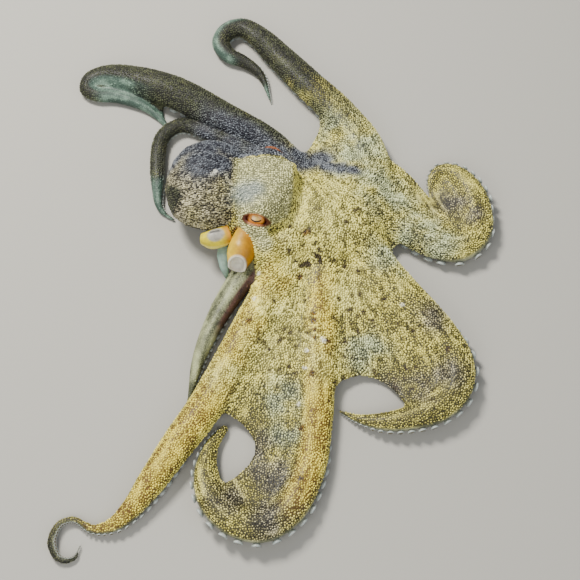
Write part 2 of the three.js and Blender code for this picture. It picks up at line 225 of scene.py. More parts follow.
def blend_min(a, b, reach):
    """The union of two distances, filleted over reach."""
    near = np.clip(0.5 + 0.5 * (b - a) / reach, 0.0, 1.0)
    return b + (a - b) * near - reach * near * (1.0 - near)


def blend_max(a, b, reach):
    return -blend_min(-a, -b, reach)


def along_steps(values, t):
    """A smooth reading of numbers that stand at even steps, at the shares t of the way."""
    v = np.asarray(values, float)
    last = len(v) - 1
    p = last * np.clip(t, 0.0, 1.0)
    i = np.minimum(p.astype(int), last - 1)
    w = p - i
    p0, p1, p2, p3 = v[np.maximum(i - 1, 0)], v[i], v[i + 1], v[np.minimum(i + 2, last)]
    m1, m2 = (p2 - p0) / 2, (p3 - p1) / 2
    return (2 * p1 - 2 * p2 + m1 + m2) * w**3 + (3 * p2 - 3 * p1 - 2 * m1 - m2) * w**2 + m1 * w + p1


def read_along(at, s, known):
    """Numbers, or rows of them, that are known at the distances s, read at others."""
    if known.ndim == 1:
        return np.interp(at, s, known)
    return np.stack([np.interp(at, s, column) for column in known.T], axis=-1)


def route(stops, step):
    """Even samples, and their distances, on a centripetal curve through the stops."""
    p = np.array(stops, float)
    p = np.vstack([2 * p[0] - p[1], p, 2 * p[-1] - p[-2]])
    fine = []
    w = np.linspace(0, 1, 60, endpoint=False)[:, None]
    for p0, p1, p2, p3 in zip(p, p[1:], p[2:], p[3:]):
        d0, d1, d2 = (np.linalg.norm(b - a) ** 0.5 for a, b in ((p0, p1), (p1, p2), (p2, p3)))
        m1 = ((p1 - p0) / d0 - (p2 - p0) / (d0 + d1) + (p2 - p1) / d1) * d1
        m2 = ((p2 - p1) / d1 - (p3 - p1) / (d1 + d2) + (p3 - p2) / d2) * d1
        fine.append((2 * p1 - 2 * p2 + m1 + m2) * w**3 + (3 * p2 - 3 * p1 - 2 * m1 - m2) * w**2 + m1 * w + p1)
    fine = np.vstack(fine + [p[-2][None]])
    far = np.concatenate([[0], np.cumsum(np.linalg.norm(np.diff(fine, axis=0), axis=1))])
    s = np.linspace(0, far[-1], int(far[-1] / step) + 2)
    return s, read_along(s, far, fine)


def read_lattice(field, low, step, points):
    """A field that is known on an even lattice, read at any points."""
    p = np.clip((points - low) / step, 0, np.array(field.shape) - 1.001)
    i = p.astype(int)
    w = p - i
    total = np.zeros(len(points))
    for corner in np.ndindex((2,) * field.ndim):
        total += np.where(corner, w, 1 - w).prod(axis=1) * field[tuple((i + corner).T)]
    return total


def value_noise(points, size, seed):
    """Smooth noise from -1 to 1 whose lumps are about size mm across."""
    p = points / size
    cell = np.floor(p).astype(np.int64)
    part = smooth(p - cell)
    total = np.zeros(len(points))
    for corner in np.ndindex(2, 2, 2):
        k = cell + corner
        mixed = (k[:, 0] * 73856093) ^ (k[:, 1] * 19349663) ^ (k[:, 2] * 83492791) ^ (seed * 2654435761)
        mixed = (mixed ^ (mixed >> 13)) * 1274126177
        value = ((mixed ^ (mixed >> 16)) & 0xFFFF) / 32767.5 - 1.0
        total += value * np.where(corner, part, 1 - part).prod(axis=1)
    return total


def to_frame(points):
    return (np.asarray(points) + SHIFT) * MM


# ---- Arms ----

class Arm:
    def __init__(self, stops, girth, rise, twist, start, roll):
        self.s, self.place = route(stops, SAMPLE)
        self.length = self.s[-1]
        ahead = np.gradient(self.place, axis=0)
        self.ahead = ahead / np.linalg.norm(ahead, axis=1)[:, None]
        self.across = np.stack([-self.ahead[:, 1], self.ahead[:, 0]], axis=1)
        t = self.s / self.length
        self.half_width = along_steps(girth, t)
        self.half_height = self.half_width * (ARM_FLATNESS + (TIP_FLATNESS - ARM_FLATNESS) * t)
        self.lift = rise * np.maximum(0, 1 - self.s / RISE_RUN) ** 2
        self.turn = math.radians(twist) * smooth((t - start) / (1 - start))
        self.roll = math.radians(roll[0]) * smooth((t - roll[1]) / ROLL_RUN)
        angles = (np.arange(ARM_SIDES) + 0.5) / ARM_SIDES * 2 * np.pi - np.pi / 2
        up = (self.half_width[:, None] * np.cos(angles) * np.sin(self.turn)[:, None]
              + self.half_height[:, None] * np.sin(angles) * np.cos(self.turn)[:, None])
        self.middle = self.lift - up.min(axis=1)
        self.belly = self.lift + np.minimum(BELLY, BELLY_SHARE * self.half_width)

    def read(self, what, s):
        return read_along(s, self.s, what)

    def locate(self, spots, low=0, high=None):
        """Distance along, offset across, overshoot past the end, and plan distance outside, of plan spots."""
        high = high or len(self.s)
        place, width = self.place[low:high], self.half_width[low:high]
        nearest = np.empty(len(spots), int)
        for i in range(0, len(spots), BATCH):
            gap = spots[i:i + BATCH, None] - place[None]
            nearest[i:i + BATCH] = np.argmin(np.sqrt((gap**2).sum(axis=2)) - width[None], axis=1)
        j = nearest + low
        off = spots - self.place[j]
        s = self.s[j] + (off * self.ahead[j]).sum(axis=1)
        a = (off * self.across[j]).sum(axis=1)
        kept = np.clip(s, self.s[low], self.s[high - 1])
        return kept, a, s - kept, np.linalg.norm(off, axis=1) - self.half_width[j]

    def distance(self, s, a, over, z):
        """Distance of points from the skin of the arm, given where they stand along and across it."""
        w = np.maximum(self.read(self.half_width, s) - COAT_DEPTH, 0.9)
        h = np.maximum(self.read(self.half_height, s) - COAT_DEPTH, 0.9)
        up = z - self.read(self.middle, s)
        c, n = np.cos(self.read(self.turn, s)), np.sin(self.read(self.turn, s))
        side, rise = a * c + up * n, up * c - a * n
        k0 = np.sqrt((side / w) ** 2 + (rise / h) ** 2 + (over / w) ** 2)
        k1 = np.sqrt((side / w**2) ** 2 + (rise / h**2) ** 2 + (over / w**2) ** 2)
        round_body = k0 * (k0 - 1) / np.maximum(k1, 1e-6)
        return blend_max(round_body, self.read(self.belly, s) - z, BELLY_EDGE)


arms = {name: Arm(**shape) for name, shape in ARMS.items()}


# ---- Head, mantle, crown ----

def axes(turn):
    return np.array([math.cos(turn), math.sin(turn)]), np.array([-math.sin(turn), math.cos(turn)])


def along_across(points, place, turn):
    """How far points stand along and across a level axis through a place."""
    off = points[:, :2] - np.array(place)
    ahead, across = axes(turn)
    return off @ ahead, off @ across


def trunk_distance(points, place, turn, stations, squareness):
    """A rounded body along a level axis, as in the solids, less the coat's depth."""
    table = np.array(stations, float)
    fine = np.linspace(table[0, 0], table[-1, 0], 80)
    knots = np.interp(fine, table[:, 0], np.arange(len(table))) / (len(table) - 1)
    wide, top, bottom = (along_steps(table[:, k], knots) for k in (1, 2, 3))
    s, a = along_across(points, place, turn)
    kept = np.clip(s, fine[0], fine[-1])
    w = np.interp(kept, fine, wide) - COAT_DEPTH
    t, b = np.interp(kept, fine, top) - COAT_DEPTH, np.interp(kept, fine, bottom) + COAT_DEPTH
    half = (t - b) / 2
    x, y = np.abs(a) / w, np.abs(points[:, 2] - (t + b) / 2) / half
    q = (x**squareness + y**squareness) ** (1 / squareness)
    flat = (q - 1) * np.minimum(w, half)
    over = np.abs(s - kept)
    return np.where(over > 0, np.sqrt(np.maximum(flat, 0) ** 2 + over**2), flat)


def bulge_centre(side):
    across = axes(HEAD_TURN)[1]
    return np.array([*(np.array(HEAD) + across * side * BULGE_SPACING / 2), BULGE_HEIGHT])


def eye_centre(side):
    across = np.array([*axes(HEAD_TURN)[1], 0.0])
    out = side * across * math.cos(EYE_LOOK_UP) + [0, 0, math.sin(EYE_LOOK_UP)]
    return bulge_centre(side) + EYE_OUT * out


SHIFT = (np.array(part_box("eye_right")[0]) + np.array(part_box("eye_right")[1])) / 2 / MM - eye_centre(-1)
BOX_LOW, BOX_HIGH = (np.array(corner) / MM - SHIFT for corner in CAD_BOX)
CLEARANCE = 0.05           # everything stays this far inside the box of the solids


def eye_frame(side):
    """Gaze, and the level and upright directions across it, of an eye."""
    ahead, across = (np.array([*v, 0.0]) for v in axes(HEAD_TURN))
    gaze = side * across * 0.70 + ahead * (-0.06) + np.array([0, 0, 0.71])
    gaze /= np.linalg.norm(gaze)
    level = np.cross([0, 0, 1.0], gaze)
    level /= np.linalg.norm(level)
    return gaze, level, np.cross(gaze, level)


def add_ball(d, points, middle, radius, fillet):
    """Distances d with a ball joined on."""
    return blend_min(d, np.linalg.norm(points - np.array(middle), axis=1) - radius, fillet)


def crown_distance(points):
    radius, top, bottom = CROWN_SIZE
    middle, half = (top + bottom) / 2, (top - bottom) / 2 - COAT_DEPTH
    r = np.linalg.norm(points[:, :2] - np.array(CROWN), axis=1) / (radius - COAT_DEPTH)
    z = np.abs(points[:, 2] - middle) / half
    q = (r**CROWN_SQUARENESS + z**CROWN_SQUARENESS) ** (1 / CROWN_SQUARENESS)
    return (q - 1) * half


def slit(points, side):
    """Below 0 inside the opening between an eye's lids, out from just under the eyeball's surface."""
    gaze, level, upright = eye_frame(side)
    off = points - eye_centre(side)
    x = (off @ level + side * EYE_OPENING_AT[0]) / EYE_OPENING[0]
    y = (off @ upright - EYE_OPENING_AT[1]) / EYE_OPENING[1] + EYE_OPENING_BEND * x**2 - 0.1
    edge = (np.sqrt(x**2 + y**2) - 1) * EYE_OPENING[1] * 0.8
    depth = EYE_RADIUS - EYE_OPENING_DEPTH - np.linalg.norm(off, axis=1)
    return np.maximum(np.maximum(edge, depth), -(off @ gaze))


def block_distance(points):
    """A box with rounded edges, turned as the head is."""
    s, a = along_across(points, BLOCK[:2], HEAD_TURN)
    local = np.abs(np.column_stack([s, a, points[:, 2] - BLOCK[2]]))
    beyond = local - (np.array(BLOCK_HALF) - BLOCK_EDGE)
    return np.linalg.norm(np.maximum(beyond, 0), axis=1) + np.minimum(beyond.max(axis=1), 0) - BLOCK_EDGE


def lap_distance(points):
    """A tapering run of flesh through the stops of the lap."""
    d = np.full(len(points), 1000.0)
    for start, end, r0, r1 in zip(LAP, LAP[1:], LAP_RADII, LAP_RADII[1:]):
        line = np.array(end, float) - start
        t = np.clip((points - start) @ line / (line @ line), 0, 1)
        d = np.minimum(d, np.linalg.norm(points - start - t[:, None] * line, axis=1) - r0 - (r1 - r0) * t)
    return d


def head_distance(points):
    d = trunk_distance(points, HEAD, HEAD_TURN, HEAD_STATIONS, HEAD_SQUARENESS)
    for side in (1, -1):
        d = add_ball(d, points, bulge_centre(side), EYE_BULGE - COAT_DEPTH, EYE_FILLETS[0])
        d = add_ball(d, points, eye_centre(side), EYE_RADIUS + LID, EYE_FILLETS[1])
    d = add_ball(blend_min(d, block_distance(points), BLOCK_FILLET), points, *CHEEK)
    d = add_ball(blend_min(d, lap_distance(points), LAP_FILLET), points, *CHIN)
    return add_ball(d, points, *COLLAR)


def open_eyes(d, points):
    for side in (1, -1):
        d = blend_max(d, -slit(points, side), LID_EDGE)
    return d


def mantle_distance(points):
    return trunk_distance(points, MANTLE, MANTLE_TURN, MANTLE_STATIONS, MANTLE_SQUARENESS)


# ---- The skin, as a field of distances on a grid ----

class Grid:
    def __init__(self, low, high):
        self.low = np.array(low, float)
        self.size = np.ceil((np.array(high) - self.low) / VOXEL).astype(int) + 1
        self.field = np.full(self.size, FAR, np.float32)
        self.z = self.low[2] + np.arange(self.size[2]) * VOXEL

    def window(self, low, high):
        first = np.clip(np.floor((np.asarray(low) - self.low[:len(low)]) / VOXEL).astype(int), 0, None)
        last = np.minimum(np.ceil((np.asarray(high) - self.low[:len(low)]) / VOXEL).astype(int) + 1,
                          self.size[:len(low)])
        return tuple(slice(a, b) for a, b in zip(first, last))

    def spots(self, window):
        lines = [self.low[k] + np.arange(w.start, w.stop) * VOXEL for k, w in enumerate(window)]
        return np.stack(np.meshgrid(*lines, indexing="ij"), axis=-1)

    def add(self, window, distance, reach):
        here = self.field[window]
        self.field[window] = blend_min(here, np.minimum(distance, FAR), reach)

    def add_solid(self, low, high, distance_of, reach):
        window = self.window(low, high)
        spots = self.spots(window)
        d = distance_of(spots.reshape(-1, 3)).reshape(spots.shape[:3])
        self.add(window, d.astype(np.float32), reach)


def add_arm(grid, arm):
    """The arm is drawn in short overlapping runs, so that limbs of it that lie side by side stay apart."""
    margin = arm.half_width.max() + FAR
    low, high = arm.place.min(axis=0) - margin, arm.place.max(axis=0) + margin
    whole = grid.window(low, high)
    body = np.full([w.stop - w.start for w in whole] + [grid.size[2]], FAR, np.float32)
    run = int(ARM_RUN / SAMPLE)
    for first in range(0, len(arm.s) - 1, run - 3):
        last = min(first + run, len(arm.s))
        reach = arm.half_width[first:last].max() + 8
        place = arm.place[first:last]
        part = grid.window(place.min(axis=0) - reach, place.max(axis=0) + reach)
        spots = grid.spots(part)
        s, a, over, _ = arm.locate(spots.reshape(-1, 2), first, last)
        d = arm.distance(s[:, None], a[:, None], over[:, None], grid.z[None])
        here = tuple(slice(p.start - w.start, p.stop - w.start) for p, w in zip(part, whole))
        body[here] = np.minimum(body[here], d.reshape(*spots.shape[:2], -1))
    spots = grid.spots(whole)
    from_crown = np.linalg.norm(spots - np.array(CROWN), axis=2)
    reach = ARM_FILLETS[0] + (ARM_FILLETS[1] - ARM_FILLETS[0]) * ramp(from_crown, 45, 105)
    grid.add(whole, body, reach[:, :, None].astype(np.float32))


def web_sheet(one, other, along, and_along, bow):
    """The web between stretches of two arms, as rows of points out from the mouth and across it."""
    out = np.linspace(0, 1, WEB_ROWS)
    line = np.linspace(0, 1, WEB_COLUMNS)

    def root(arm, distance):
        d = np.clip(distance, 0, arm.length)
        top = arm.read(arm.lift, d) + 2 * arm.read(arm.half_height, d)
        height = top * (WEB_HEIGHT[0] + (WEB_HEIGHT[1] - WEB_HEIGHT[0]) * out)
        return np.column_stack([arm.read(arm.place, d), height])

    start = root(arms[one], along[0] + (along[1] - along[0]) * out)
    end = root(arms[other], and_along[0] + (and_along[1] - and_along[0]) * out)
    middle = (start + end) / 2
    middle[:, :2] += np.array(bow) * out[:, None] ** 3
    middle[:, 2] *= 1 - 2 * (WEB_SAG[0] + (WEB_SAG[1] - WEB_SAG[0]) * out**2)
    t = line[None, :, None]
    return start[:, None] * (1 - t) ** 2 + 2 * middle[:, None] * t * (1 - t) + end[:, None] * t**2


def outline_distance(spots, outline):
    """Signed plan distance of spots from a closed outline, below 0 inside it."""
    start, end = outline, np.roll(outline, -1, axis=0)
    side = end - start
    length2 = np.maximum((side**2).sum(axis=1), 1e-9)
    signed = np.empty(len(spots))
    for i in range(0, len(spots), BATCH):
        p = spots[i:i + BATCH]
        off = p[:, None] - start[None]
        t = np.clip((off * side).sum(axis=2) / length2, 0, 1)
        gap = np.sqrt(((off - t[:, :, None] * side) ** 2).sum(axis=2)).min(axis=1)
        above = start[None, :, 1] > p[:, 1, None]
        crosses = above != (end[None, :, 1] > p[:, 1, None])
        rise = np.where(crosses, side[:, 1], 1.0)
        cut = start[:, 0] + (p[:, 1, None] - start[:, 1]) / rise * side[:, 0]
        inside = (crosses & (p[:, 0, None] < cut)).sum(axis=1) % 2 == 1
        signed[i:i + BATCH] = np.where(inside, -gap, gap)
    return signed


def add_web(grid, web):
    """A sheet of even thickness: its middle height is read off the points, and spread where they are few."""
    sheet = web_sheet(*web)
    points = sheet.reshape(-1, 3)
    window = grid.window(points[:, :2].min(axis=0) - WEB_MARGIN, points[:, :2].max(axis=0) + WEB_MARGIN)
    spots = grid.spots(window)
    shape = np.array(spots.shape[:2])
    corner = spots[0, 0]
    column = np.round((points[:, :2] - corner) / VOXEL).astype(int)
    height, share = np.zeros(shape), np.zeros(shape)
    for dx in (-1, 0, 1):
        for dy in (-1, 0, 1):
            at = np.clip(column + [dx, dy], 0, shape - 1)
            off2 = ((points[:, :2] - (corner + at * VOXEL)) ** 2).sum(axis=1)
            weight = np.exp(-off2 / (2 * WEB_SPREAD**2))
            np.add.at(share, (at[:, 0], at[:, 1]), weight)
            np.add.at(height, (at[:, 0], at[:, 1]), weight * points[:, 2])
    known = share > 0.05
    height = np.where(known, height / np.maximum(share, 1e-9), points[:, 2].mean())
    for turn in range(sum(WEB_PASSES)):
        around = sum(np.roll(height, step, axis) for axis in (0, 1) for step in (1, -1)) / 4
        height = np.where(known & (turn < WEB_PASSES[0]), height, around)
    middle = np.maximum(height - COAT_DEPTH - WEB_THICKNESS / 2, WEB_THICKNESS / 2 + 0.7)
    outline = np.vstack([sheet[:, 0], sheet[-1], sheet[::-1, -1], sheet[0, ::-1]])[::3, :2]
    signed = outline_distance(spots.reshape(-1, 2), outline).reshape(shape)
    beyond = np.maximum(signed + COAT_DEPTH + WEB_THICKNESS / 2, 0)[:, :, None]
    slope = np.minimum(np.hypot(*np.gradient(middle, VOXEL)), 1.5)[:, :, None]
    off = (grid.z[None, None] - middle[:, :, None]) / np.sqrt(1 + slope**2)
    d = np.sqrt(beyond**2 + off**2) - WEB_THICKNESS / 2
    grid.add(window, d.astype(np.float32), WEB_FILLET)


def make_field():
    grid = Grid(BOX_LOW - 8, BOX_HIGH + 8)
    for name in ("r3", "r2", "r1", "l1", "l2", "l3", "l4", "r4"):
        add_arm(grid, arms[name])
    for web in WEBS:
        add_web(grid, web)
    radius, top, bottom = CROWN_SIZE
    grid.add_solid([CROWN[0] - radius - 14, CROWN[1] - radius - 14, -5],
                   [CROWN[0] + radius + 14, CROWN[1] + radius + 14, top + 14], crown_distance, CROWN_FILLET)
    grid.add_solid(*MANTLE_ROOM, mantle_distance, MANTLE_FILLET)
    grid.add_solid(*HEAD_ROOM, head_distance, HEAD_FILLET)
    return grid


def with_eyes_open(grid):
    window = grid.window(*EYE_ROOM)
    spots = grid.spots(window)
    field = grid.field.copy()
    flat = open_eyes(field[window].reshape(-1).astype(float), spots.reshape(-1, 3))
    field[window] = flat.reshape(spots.shape[:3])
    return field


def largest_piece(points, quads):
    """The one connected surface with the most points."""
    label = np.arange(len(points))
    edges = np.vstack([quads[:, [0, 1]], quads[:, [1, 2]], quads[:, [2, 3]]])
    while True:
        low = np.minimum(label[edges[:, 0]], label[edges[:, 1]])
        new = label.copy()
        np.minimum.at(new, edges[:, 0], low)
        np.minimum.at(new, edges[:, 1], low)
        new = new[new]
        new = new[new]
        if (new == label).all():
            break
        label = new
    names, counts = np.unique(label, return_counts=True)
    keep = label == names[counts.argmax()]
    fresh = np.cumsum(keep) - 1
    return points[keep], fresh[quads[keep[quads[:, 0]]]]


def new_object(name, data):
    made = bpy.data.objects.new(name, data)
    bpy.context.scene.collection.objects.link(made)
    return made


def mesh_object(name, points, faces):
    """A smooth-shaded object from points in the maker's frame and faces that all have as many corners."""
    faces = np.asarray(faces)
    mesh = bpy.data.meshes.new(name)
    mesh.vertices.add(len(points))
    mesh.vertices.foreach_set("co", to_frame(points).astype(np.float32).ravel())
    mesh.loops.add(faces.size)
    mesh.loops.foreach_set("vertex_index", faces.astype(np.int32).ravel())
    mesh.polygons.add(len(faces))
    mesh.polygons.foreach_set("loop_start", np.arange(0, faces.size, faces.shape[1], dtype=np.int32))
    mesh.update(calc_edges=True)
    mesh.validate()
    mesh.shade_smooth()
    return new_object(name, mesh)


def ring_faces(rings, around, foot, tip):
    """Triangles over rings of points that lie one after the other, closed on to a point at either end."""
    last = (rings - 1) * around
    faces = []
    for j in range(around):
        k = (j + 1) % around
        faces += [(foot, k, j), (tip, last + j, last + k)]
        for i in range(0, last, around):
            faces += [(i + j, i + k, i + around + k), (i + j, i + around + k, i + around + j)]
    return np.array(faces)


def read_counts(items, what):
    """One whole number of each of a mesh's faces or corners."""
    values = np.empty(len(items), np.int32)
    items.foreach_get(what, values)
    return values


def read_vertices(mesh):
    """Places in the maker's frame, and normals."""
    place, normal = (np.empty(len(mesh.vertices) * 3, np.float32) for _ in range(2))
    mesh.vertices.foreach_get("co", place)
    mesh.vertex_normals.foreach_get("vector", normal)
    return place.reshape(-1, 3).astype(float) / MM - SHIFT, normal.reshape(-1, 3).astype(float)


def set_vertices(mesh, points):
    mesh.vertices.foreach_set("co", to_frame(points).astype(np.float32).ravel())
    mesh.update()


def keep_inside(mesh):
    """Draws in whatever stands past the box of the solids, as the rim of a granule may."""
    points, _ = read_vertices(mesh)
    set_vertices(mesh, np.clip(points, BOX_LOW + CLEARANCE, BOX_HIGH - CLEARANCE))


def store(mesh, name, values, kind="FLOAT", domain="POINT"):
    """Keeps numbers on a mesh, one to four of them for each point or corner."""
    layer = mesh.attributes.new(name, kind, domain)
    field = {"FLOAT": "value", "FLOAT_VECTOR": "vector", "FLOAT_COLOR": "color", "FLOAT2": "vector"}[kind]
    layer.data.foreach_set(field, np.ascontiguousarray(values, np.float32).ravel())


# ---- The skin's mesh ----

BROW = np.array([-35.0, 62.0])      # the middle of the rings of wrinkles above the right eye
WRINKLE = 3.4                       # from one ring of wrinkles to the next
WRINKLE_DEPTH = 0.42


def make_skin():
    grid = make_field()
    vdb = openvdb.FloatGrid(FAR)
    vdb.copyFromArray(np.ascontiguousarray(with_eyes_open(grid)), tolerance=0)
    points, quads = vdb.convertToQuads(isovalue=0.0)
    points = np.asarray(points, float) * VOXEL + grid.low
    points, quads = largest_piece(points, np.asarray(quads, int))
    a, b, c = (points[quads[:, k]] for k in (0, 1, 2))
    if np.einsum("ij,ij->i", a, np.cross(b, c)).sum() < 0:
        quads = quads[:, ::-1]
    skin = mesh_object("octopus_skin", points, quads)
    finer_head(skin.data, grid)
    keep_inside(skin.data)
    return skin


def brow_rings(points):
    """The wave of the wrinkles round the brow, from -1 to 1, and how much they show."""
    ring = np.linalg.norm(points[:, :2] - BROW, axis=1)
    ring += 1.6 * value_noise(points, 12.0, SEED) + 0.5 * value_noise(points, 4.0, SEED)
    shown = ramp(points[:, 2], 42, 48) * ramp(ring, 37, 24) * ramp(points[:, 1], 64, 69)
    return np.sin(2 * np.pi * ring / WRINKLE), shown


def near_head(points):
    s, a = along_across(points, HEAD, HEAD_TURN)
    return (np.abs(s) < FINE_HALF[0]) & (np.abs(a) < FINE_HALF[1]) & (points[:, 2] > FINE_ABOVE)


def finer_head(mesh, grid):
    """Faces on the head are divided once more, drawn onto the true shape of lids and bulges, and wrinkled."""
    work = bmesh.new()
    work.from_mesh(mesh)
    work.verts.ensure_lookup_table()
    points, _ = read_vertices(mesh)
    chosen = near_head(points)
    edges = [e for e in work.edges if chosen[e.verts[0].index] and chosen[e.verts[1].index]]
    bmesh.ops.subdivide_edges(work, edges=edges, cuts=1, use_grid_fill=True)
    work.to_mesh(mesh)
    work.free()
    mesh.shade_smooth()
    points, _ = read_vertices(mesh)
    near = near_head(points)
    p = points[near]

    def distance(q):
        return open_eyes(read_lattice(grid.field, grid.low, VOXEL, q), q)

    for _ in range(3):
        d = distance(p)
        slope = np.stack([distance(p + step) - distance(p - step) for step in np.eye(3) * 0.4], axis=1) / 0.8
        size = np.maximum((slope**2).sum(axis=1), 0.2)
        p = p - 0.8 * slope * (np.clip(d, -1.2, 1.2) / size)[:, None]
    points[near] = p
    set_vertices(mesh, points)
    points, normals = read_vertices(mesh)
    near = near_head(points)
    p = points[near]
    wave, shown = brow_rings(p)
    points[near] = p + normals[near] * (WRINKLE_DEPTH * wave * shown)[:, None]
    set_vertices(mesh, points)


skin = make_skin()
print("skin", len(skin.data.vertices), "points")


# ---- What each point of the skin belongs to, and how it is marked ----

BODIES = list(ARMS) + ["head", "mantle"]
HEAD_AT, MANTLE_AT = len(ARMS), len(ARMS) + 1
ARM_REACH = 95             # an arm is looked for within this of its route, mm
UNREAD = 400.0             # what stands in for a distance that isn't looked for
UNROLL_RADIUS = {"head": 42, "mantle": 50}   # mm
UNROLL_HEIGHT = 30         # of the axis that they are unrolled about, mm


class Reading:
    """Where points of the skin stand on each arm, and which body is the nearest to each."""

    def __init__(self, points):
        spots, z = points[:, :2], points[:, 2]
        count = len(points)
        self.points = points
        self.s, self.a, self.out = (np.full((len(ARMS), count), UNREAD) for _ in range(3))
        near = np.full((len(BODIES), count), UNREAD)
        for k, arm in enumerate(arms.values()):
            low, high = arm.place.min(axis=0) - ARM_REACH, arm.place.max(axis=0) + ARM_REACH
            here = np.nonzero(((spots > low) & (spots < high)).all(axis=1))[0]
            s, a, over, out = arm.locate(spots[here])
            self.s[k, here], self.a[k, here], self.out[k, here] = s + over, a, out
            near[k, here] = arm.distance(s, a, over, z[here])
        near[HEAD_AT] = head_distance(points)
        near[MANTLE_AT] = mantle_distance(points)
        self.owner = near.argmin(axis=0)

    def section(self, k):
        """Half width, and the angle round the arm, 0 on top and towards pi over the suckers."""
        arm = arms[BODIES[k]]
        s = np.clip(self.s[k], 0, arm.length)
        w = arm.read(arm.half_width, s)
        h = arm.read(arm.half_height, s)
        up = self.points[:, 2] - arm.read(arm.middle, s)
        turn = arm.read(arm.turn + arm.roll, s)
        c, n = np.cos(turn), np.sin(turn)
        side, rise = self.a[k] * c + up * n, up * c - self.a[k] * n
        return w, np.arctan2(side / w, rise / h)

    def chart(self, k, chosen):
        """Where chosen points lie on an unrolling of body k, in mm."""
        p = self.points[chosen]
        if BODIES[k] in ARMS:
            arm = arms[BODIES[k]]
            s, a = self.s[k][chosen], self.a[k][chosen]
            inside = np.clip(s, 0, arm.length)
            w = arm.read(arm.half_width, inside)
            up = p[:, 2] - arm.read(arm.middle, inside)
            angle = np.abs(np.arctan2(a, up))
            round_arm = w * np.minimum(angle, 1.9) + np.maximum(np.abs(a) - w, 0)
            return np.column_stack([s, np.sign(a) * round_arm])
        s, a = along_across(p, *((HEAD, HEAD_TURN) if k == HEAD_AT else (MANTLE, MANTLE_TURN)))
        round_body = UNROLL_RADIUS[BODIES[k]] * np.arctan2(a, p[:, 2] - UNROLL_HEIGHT)
        # the rear of the sac is unrolled outwards, so that its end isn't folded on to one line
        return np.column_stack([s + np.where(s < -30, (p[:, 2] - 60) * 0.8, 0), round_body])


def pull(gap, ahead):
    """How an arm at some gap turns the grain of the skin its way, as a doubled angle: opposite ways agree."""
    angle = 2 * np.arctan2(ahead[:, 1], ahead[:, 0])
    return 1 / (np.maximum(gap, 0) + 5) ** 3 * np.stack([np.cos(angle), np.sin(angle)])


def flow_field(reading, normals):
    """The way the granules and furrows run, as a level direction: along the arms, and back over the sac."""
    twice = np.zeros((2, len(reading.points)))
    for k, arm in enumerate(arms.values()):
        s = np.clip(reading.s[k], 0, arm.length)
        twice += pull(reading.out[k], arm.read(arm.ahead, s))
    angle = np.arctan2(twice[1], twice[0]) / 2
    off = reading.points[:, :2] - BROW
    ring = np.arctan2(off[:, 0], -off[:, 1])
    angle = np.where(reading.owner == HEAD_AT, ring, angle)
    angle = np.where(reading.owner == MANTLE_AT, MANTLE_TURN + 0.25, angle)
    flow = np.column_stack([np.cos(angle), np.sin(angle), np.zeros_like(angle)])
    flow -= normals * (flow * normals).sum(axis=1)[:, None]
    return flow


class Furrows:
    """Streaks that follow the arms: noise on a level grid, drawn out along the flow."""

    step = 1.2             # mm
    length = 7             # steps that a streak is drawn out each way

    def __init__(self, low, high):
        self.low = np.array(low)
        size = np.ceil((np.array(high) - self.low) / self.step).astype(int) + 1
        lines = [self.low[k] + np.arange(size[k]) * self.step for k in (0, 1)]
        spots = np.stack(np.meshgrid(*lines, indexing="ij"), axis=-1).reshape(-1, 2)
        twice = np.zeros((2, len(spots)))
        for arm in arms.values():
            coarse = slice(0, len(arm.s), 3)
            for i in range(0, len(spots), BATCH):
                gap = spots[i:i + BATCH, None] - arm.place[None, coarse]
                gap = np.sqrt((gap**2).sum(axis=2)) - arm.half_width[None, coarse]
                j = gap.argmin(axis=1)
                twice[:, i:i + BATCH] += pull(gap[np.arange(len(j)), j], arm.ahead[coarse][j])
        angle = np.arctan2(twice[1], twice[0]) / 2
        way = np.stack([np.cos(angle), np.sin(angle)], axis=1)
        noise = np.random.default_rng(SEED).standard_normal(size)
        for axis in (0, 1):
            noise = (np.roll(noise, 1, axis) + 2 * noise + np.roll(noise, -1, axis)) / 4
        total = noise.reshape(-1).copy()
        for sign in (1, -1):
            spot, heading = spots.copy(), way * sign
            for _ in range(self.length):
                spot = spot + heading * self.step
                i = np.clip(np.round((spot - self.low) / self.step).astype(int), 0, size - 1)
                flat = i[:, 0] * size[1] + i[:, 1]
                total += noise.reshape(-1)[flat]
                new = way[flat]
                heading = new * np.where((new * heading).sum(axis=1) < 0, -1, 1)[:, None]
        self.field = ((total - total.mean()) / total.std()).reshape(size)

    def read(self, points):
        return read_lattice(self.field, self.low, self.step, points[:, :2])


def patch(points, places):
    """How much each point lies in soft round patches, given as (x, y, radius)."""
    total = np.zeros(len(points))
    for x, y, radius in places:
        gap2 = (points[:, 0] - x) ** 2 + (points[:, 1] - y) ** 2
        total = np.maximum(total, np.exp(-gap2 / (2 * (radius * 0.62) ** 2)))
    return total


# Skin tones as (furrow, crest): what lies between the granules, and the granules' own tops. They are laid
# on in this order, each over the last.
TONES = {
    "plain": ("#35310d", "#f7ec78"),
    "gold": ("#5a4008", "#ffec5c"),
    "green": ("#262b1b", "#dfe6b0"),
    "umber": ("#0f0b04", "#d8cfa8"),
    "olive": ("#0e0f08", "#52563a"),
    "cream": ("#5f5a24", "#fff892"),
    "pale": ("#62623f", "#f8f5b2"),
    # rust serves both the small rust-coloured spots and the painted shade in the gap between the collar lobe
    # and the funnel
    "rust": ("#1e1003", "#6e4e14"),
    "brow": ("#5d665f", "#cbd2c0"),
    # navy is partly the animal's own dark navy colour and partly painted shade on the far side of the head
    # and between the roots of the left arms
    "navy": ("#090b1c", "#7e848c"),
    "sleeve": ("#3a3e28", "#a2a67c"),
    "beneath": ("#5e604a", "#a0a284"),
    "teal": ("#30443b", "#84a08d"),
    # rim is painted shade: the dark strip where the third and fourth right arms face each other
    "rim": ("#1d0c0b", "#57392f"),
    "lid": ("#7b3a16", "#d9985a"),
    # corner is painted shade in the creases at the corners of the eyes
    "corner": ("#2c0b03", "#6d2c0e"),
    "white": ("#d8d5c4", "#fbf9ee"),
}
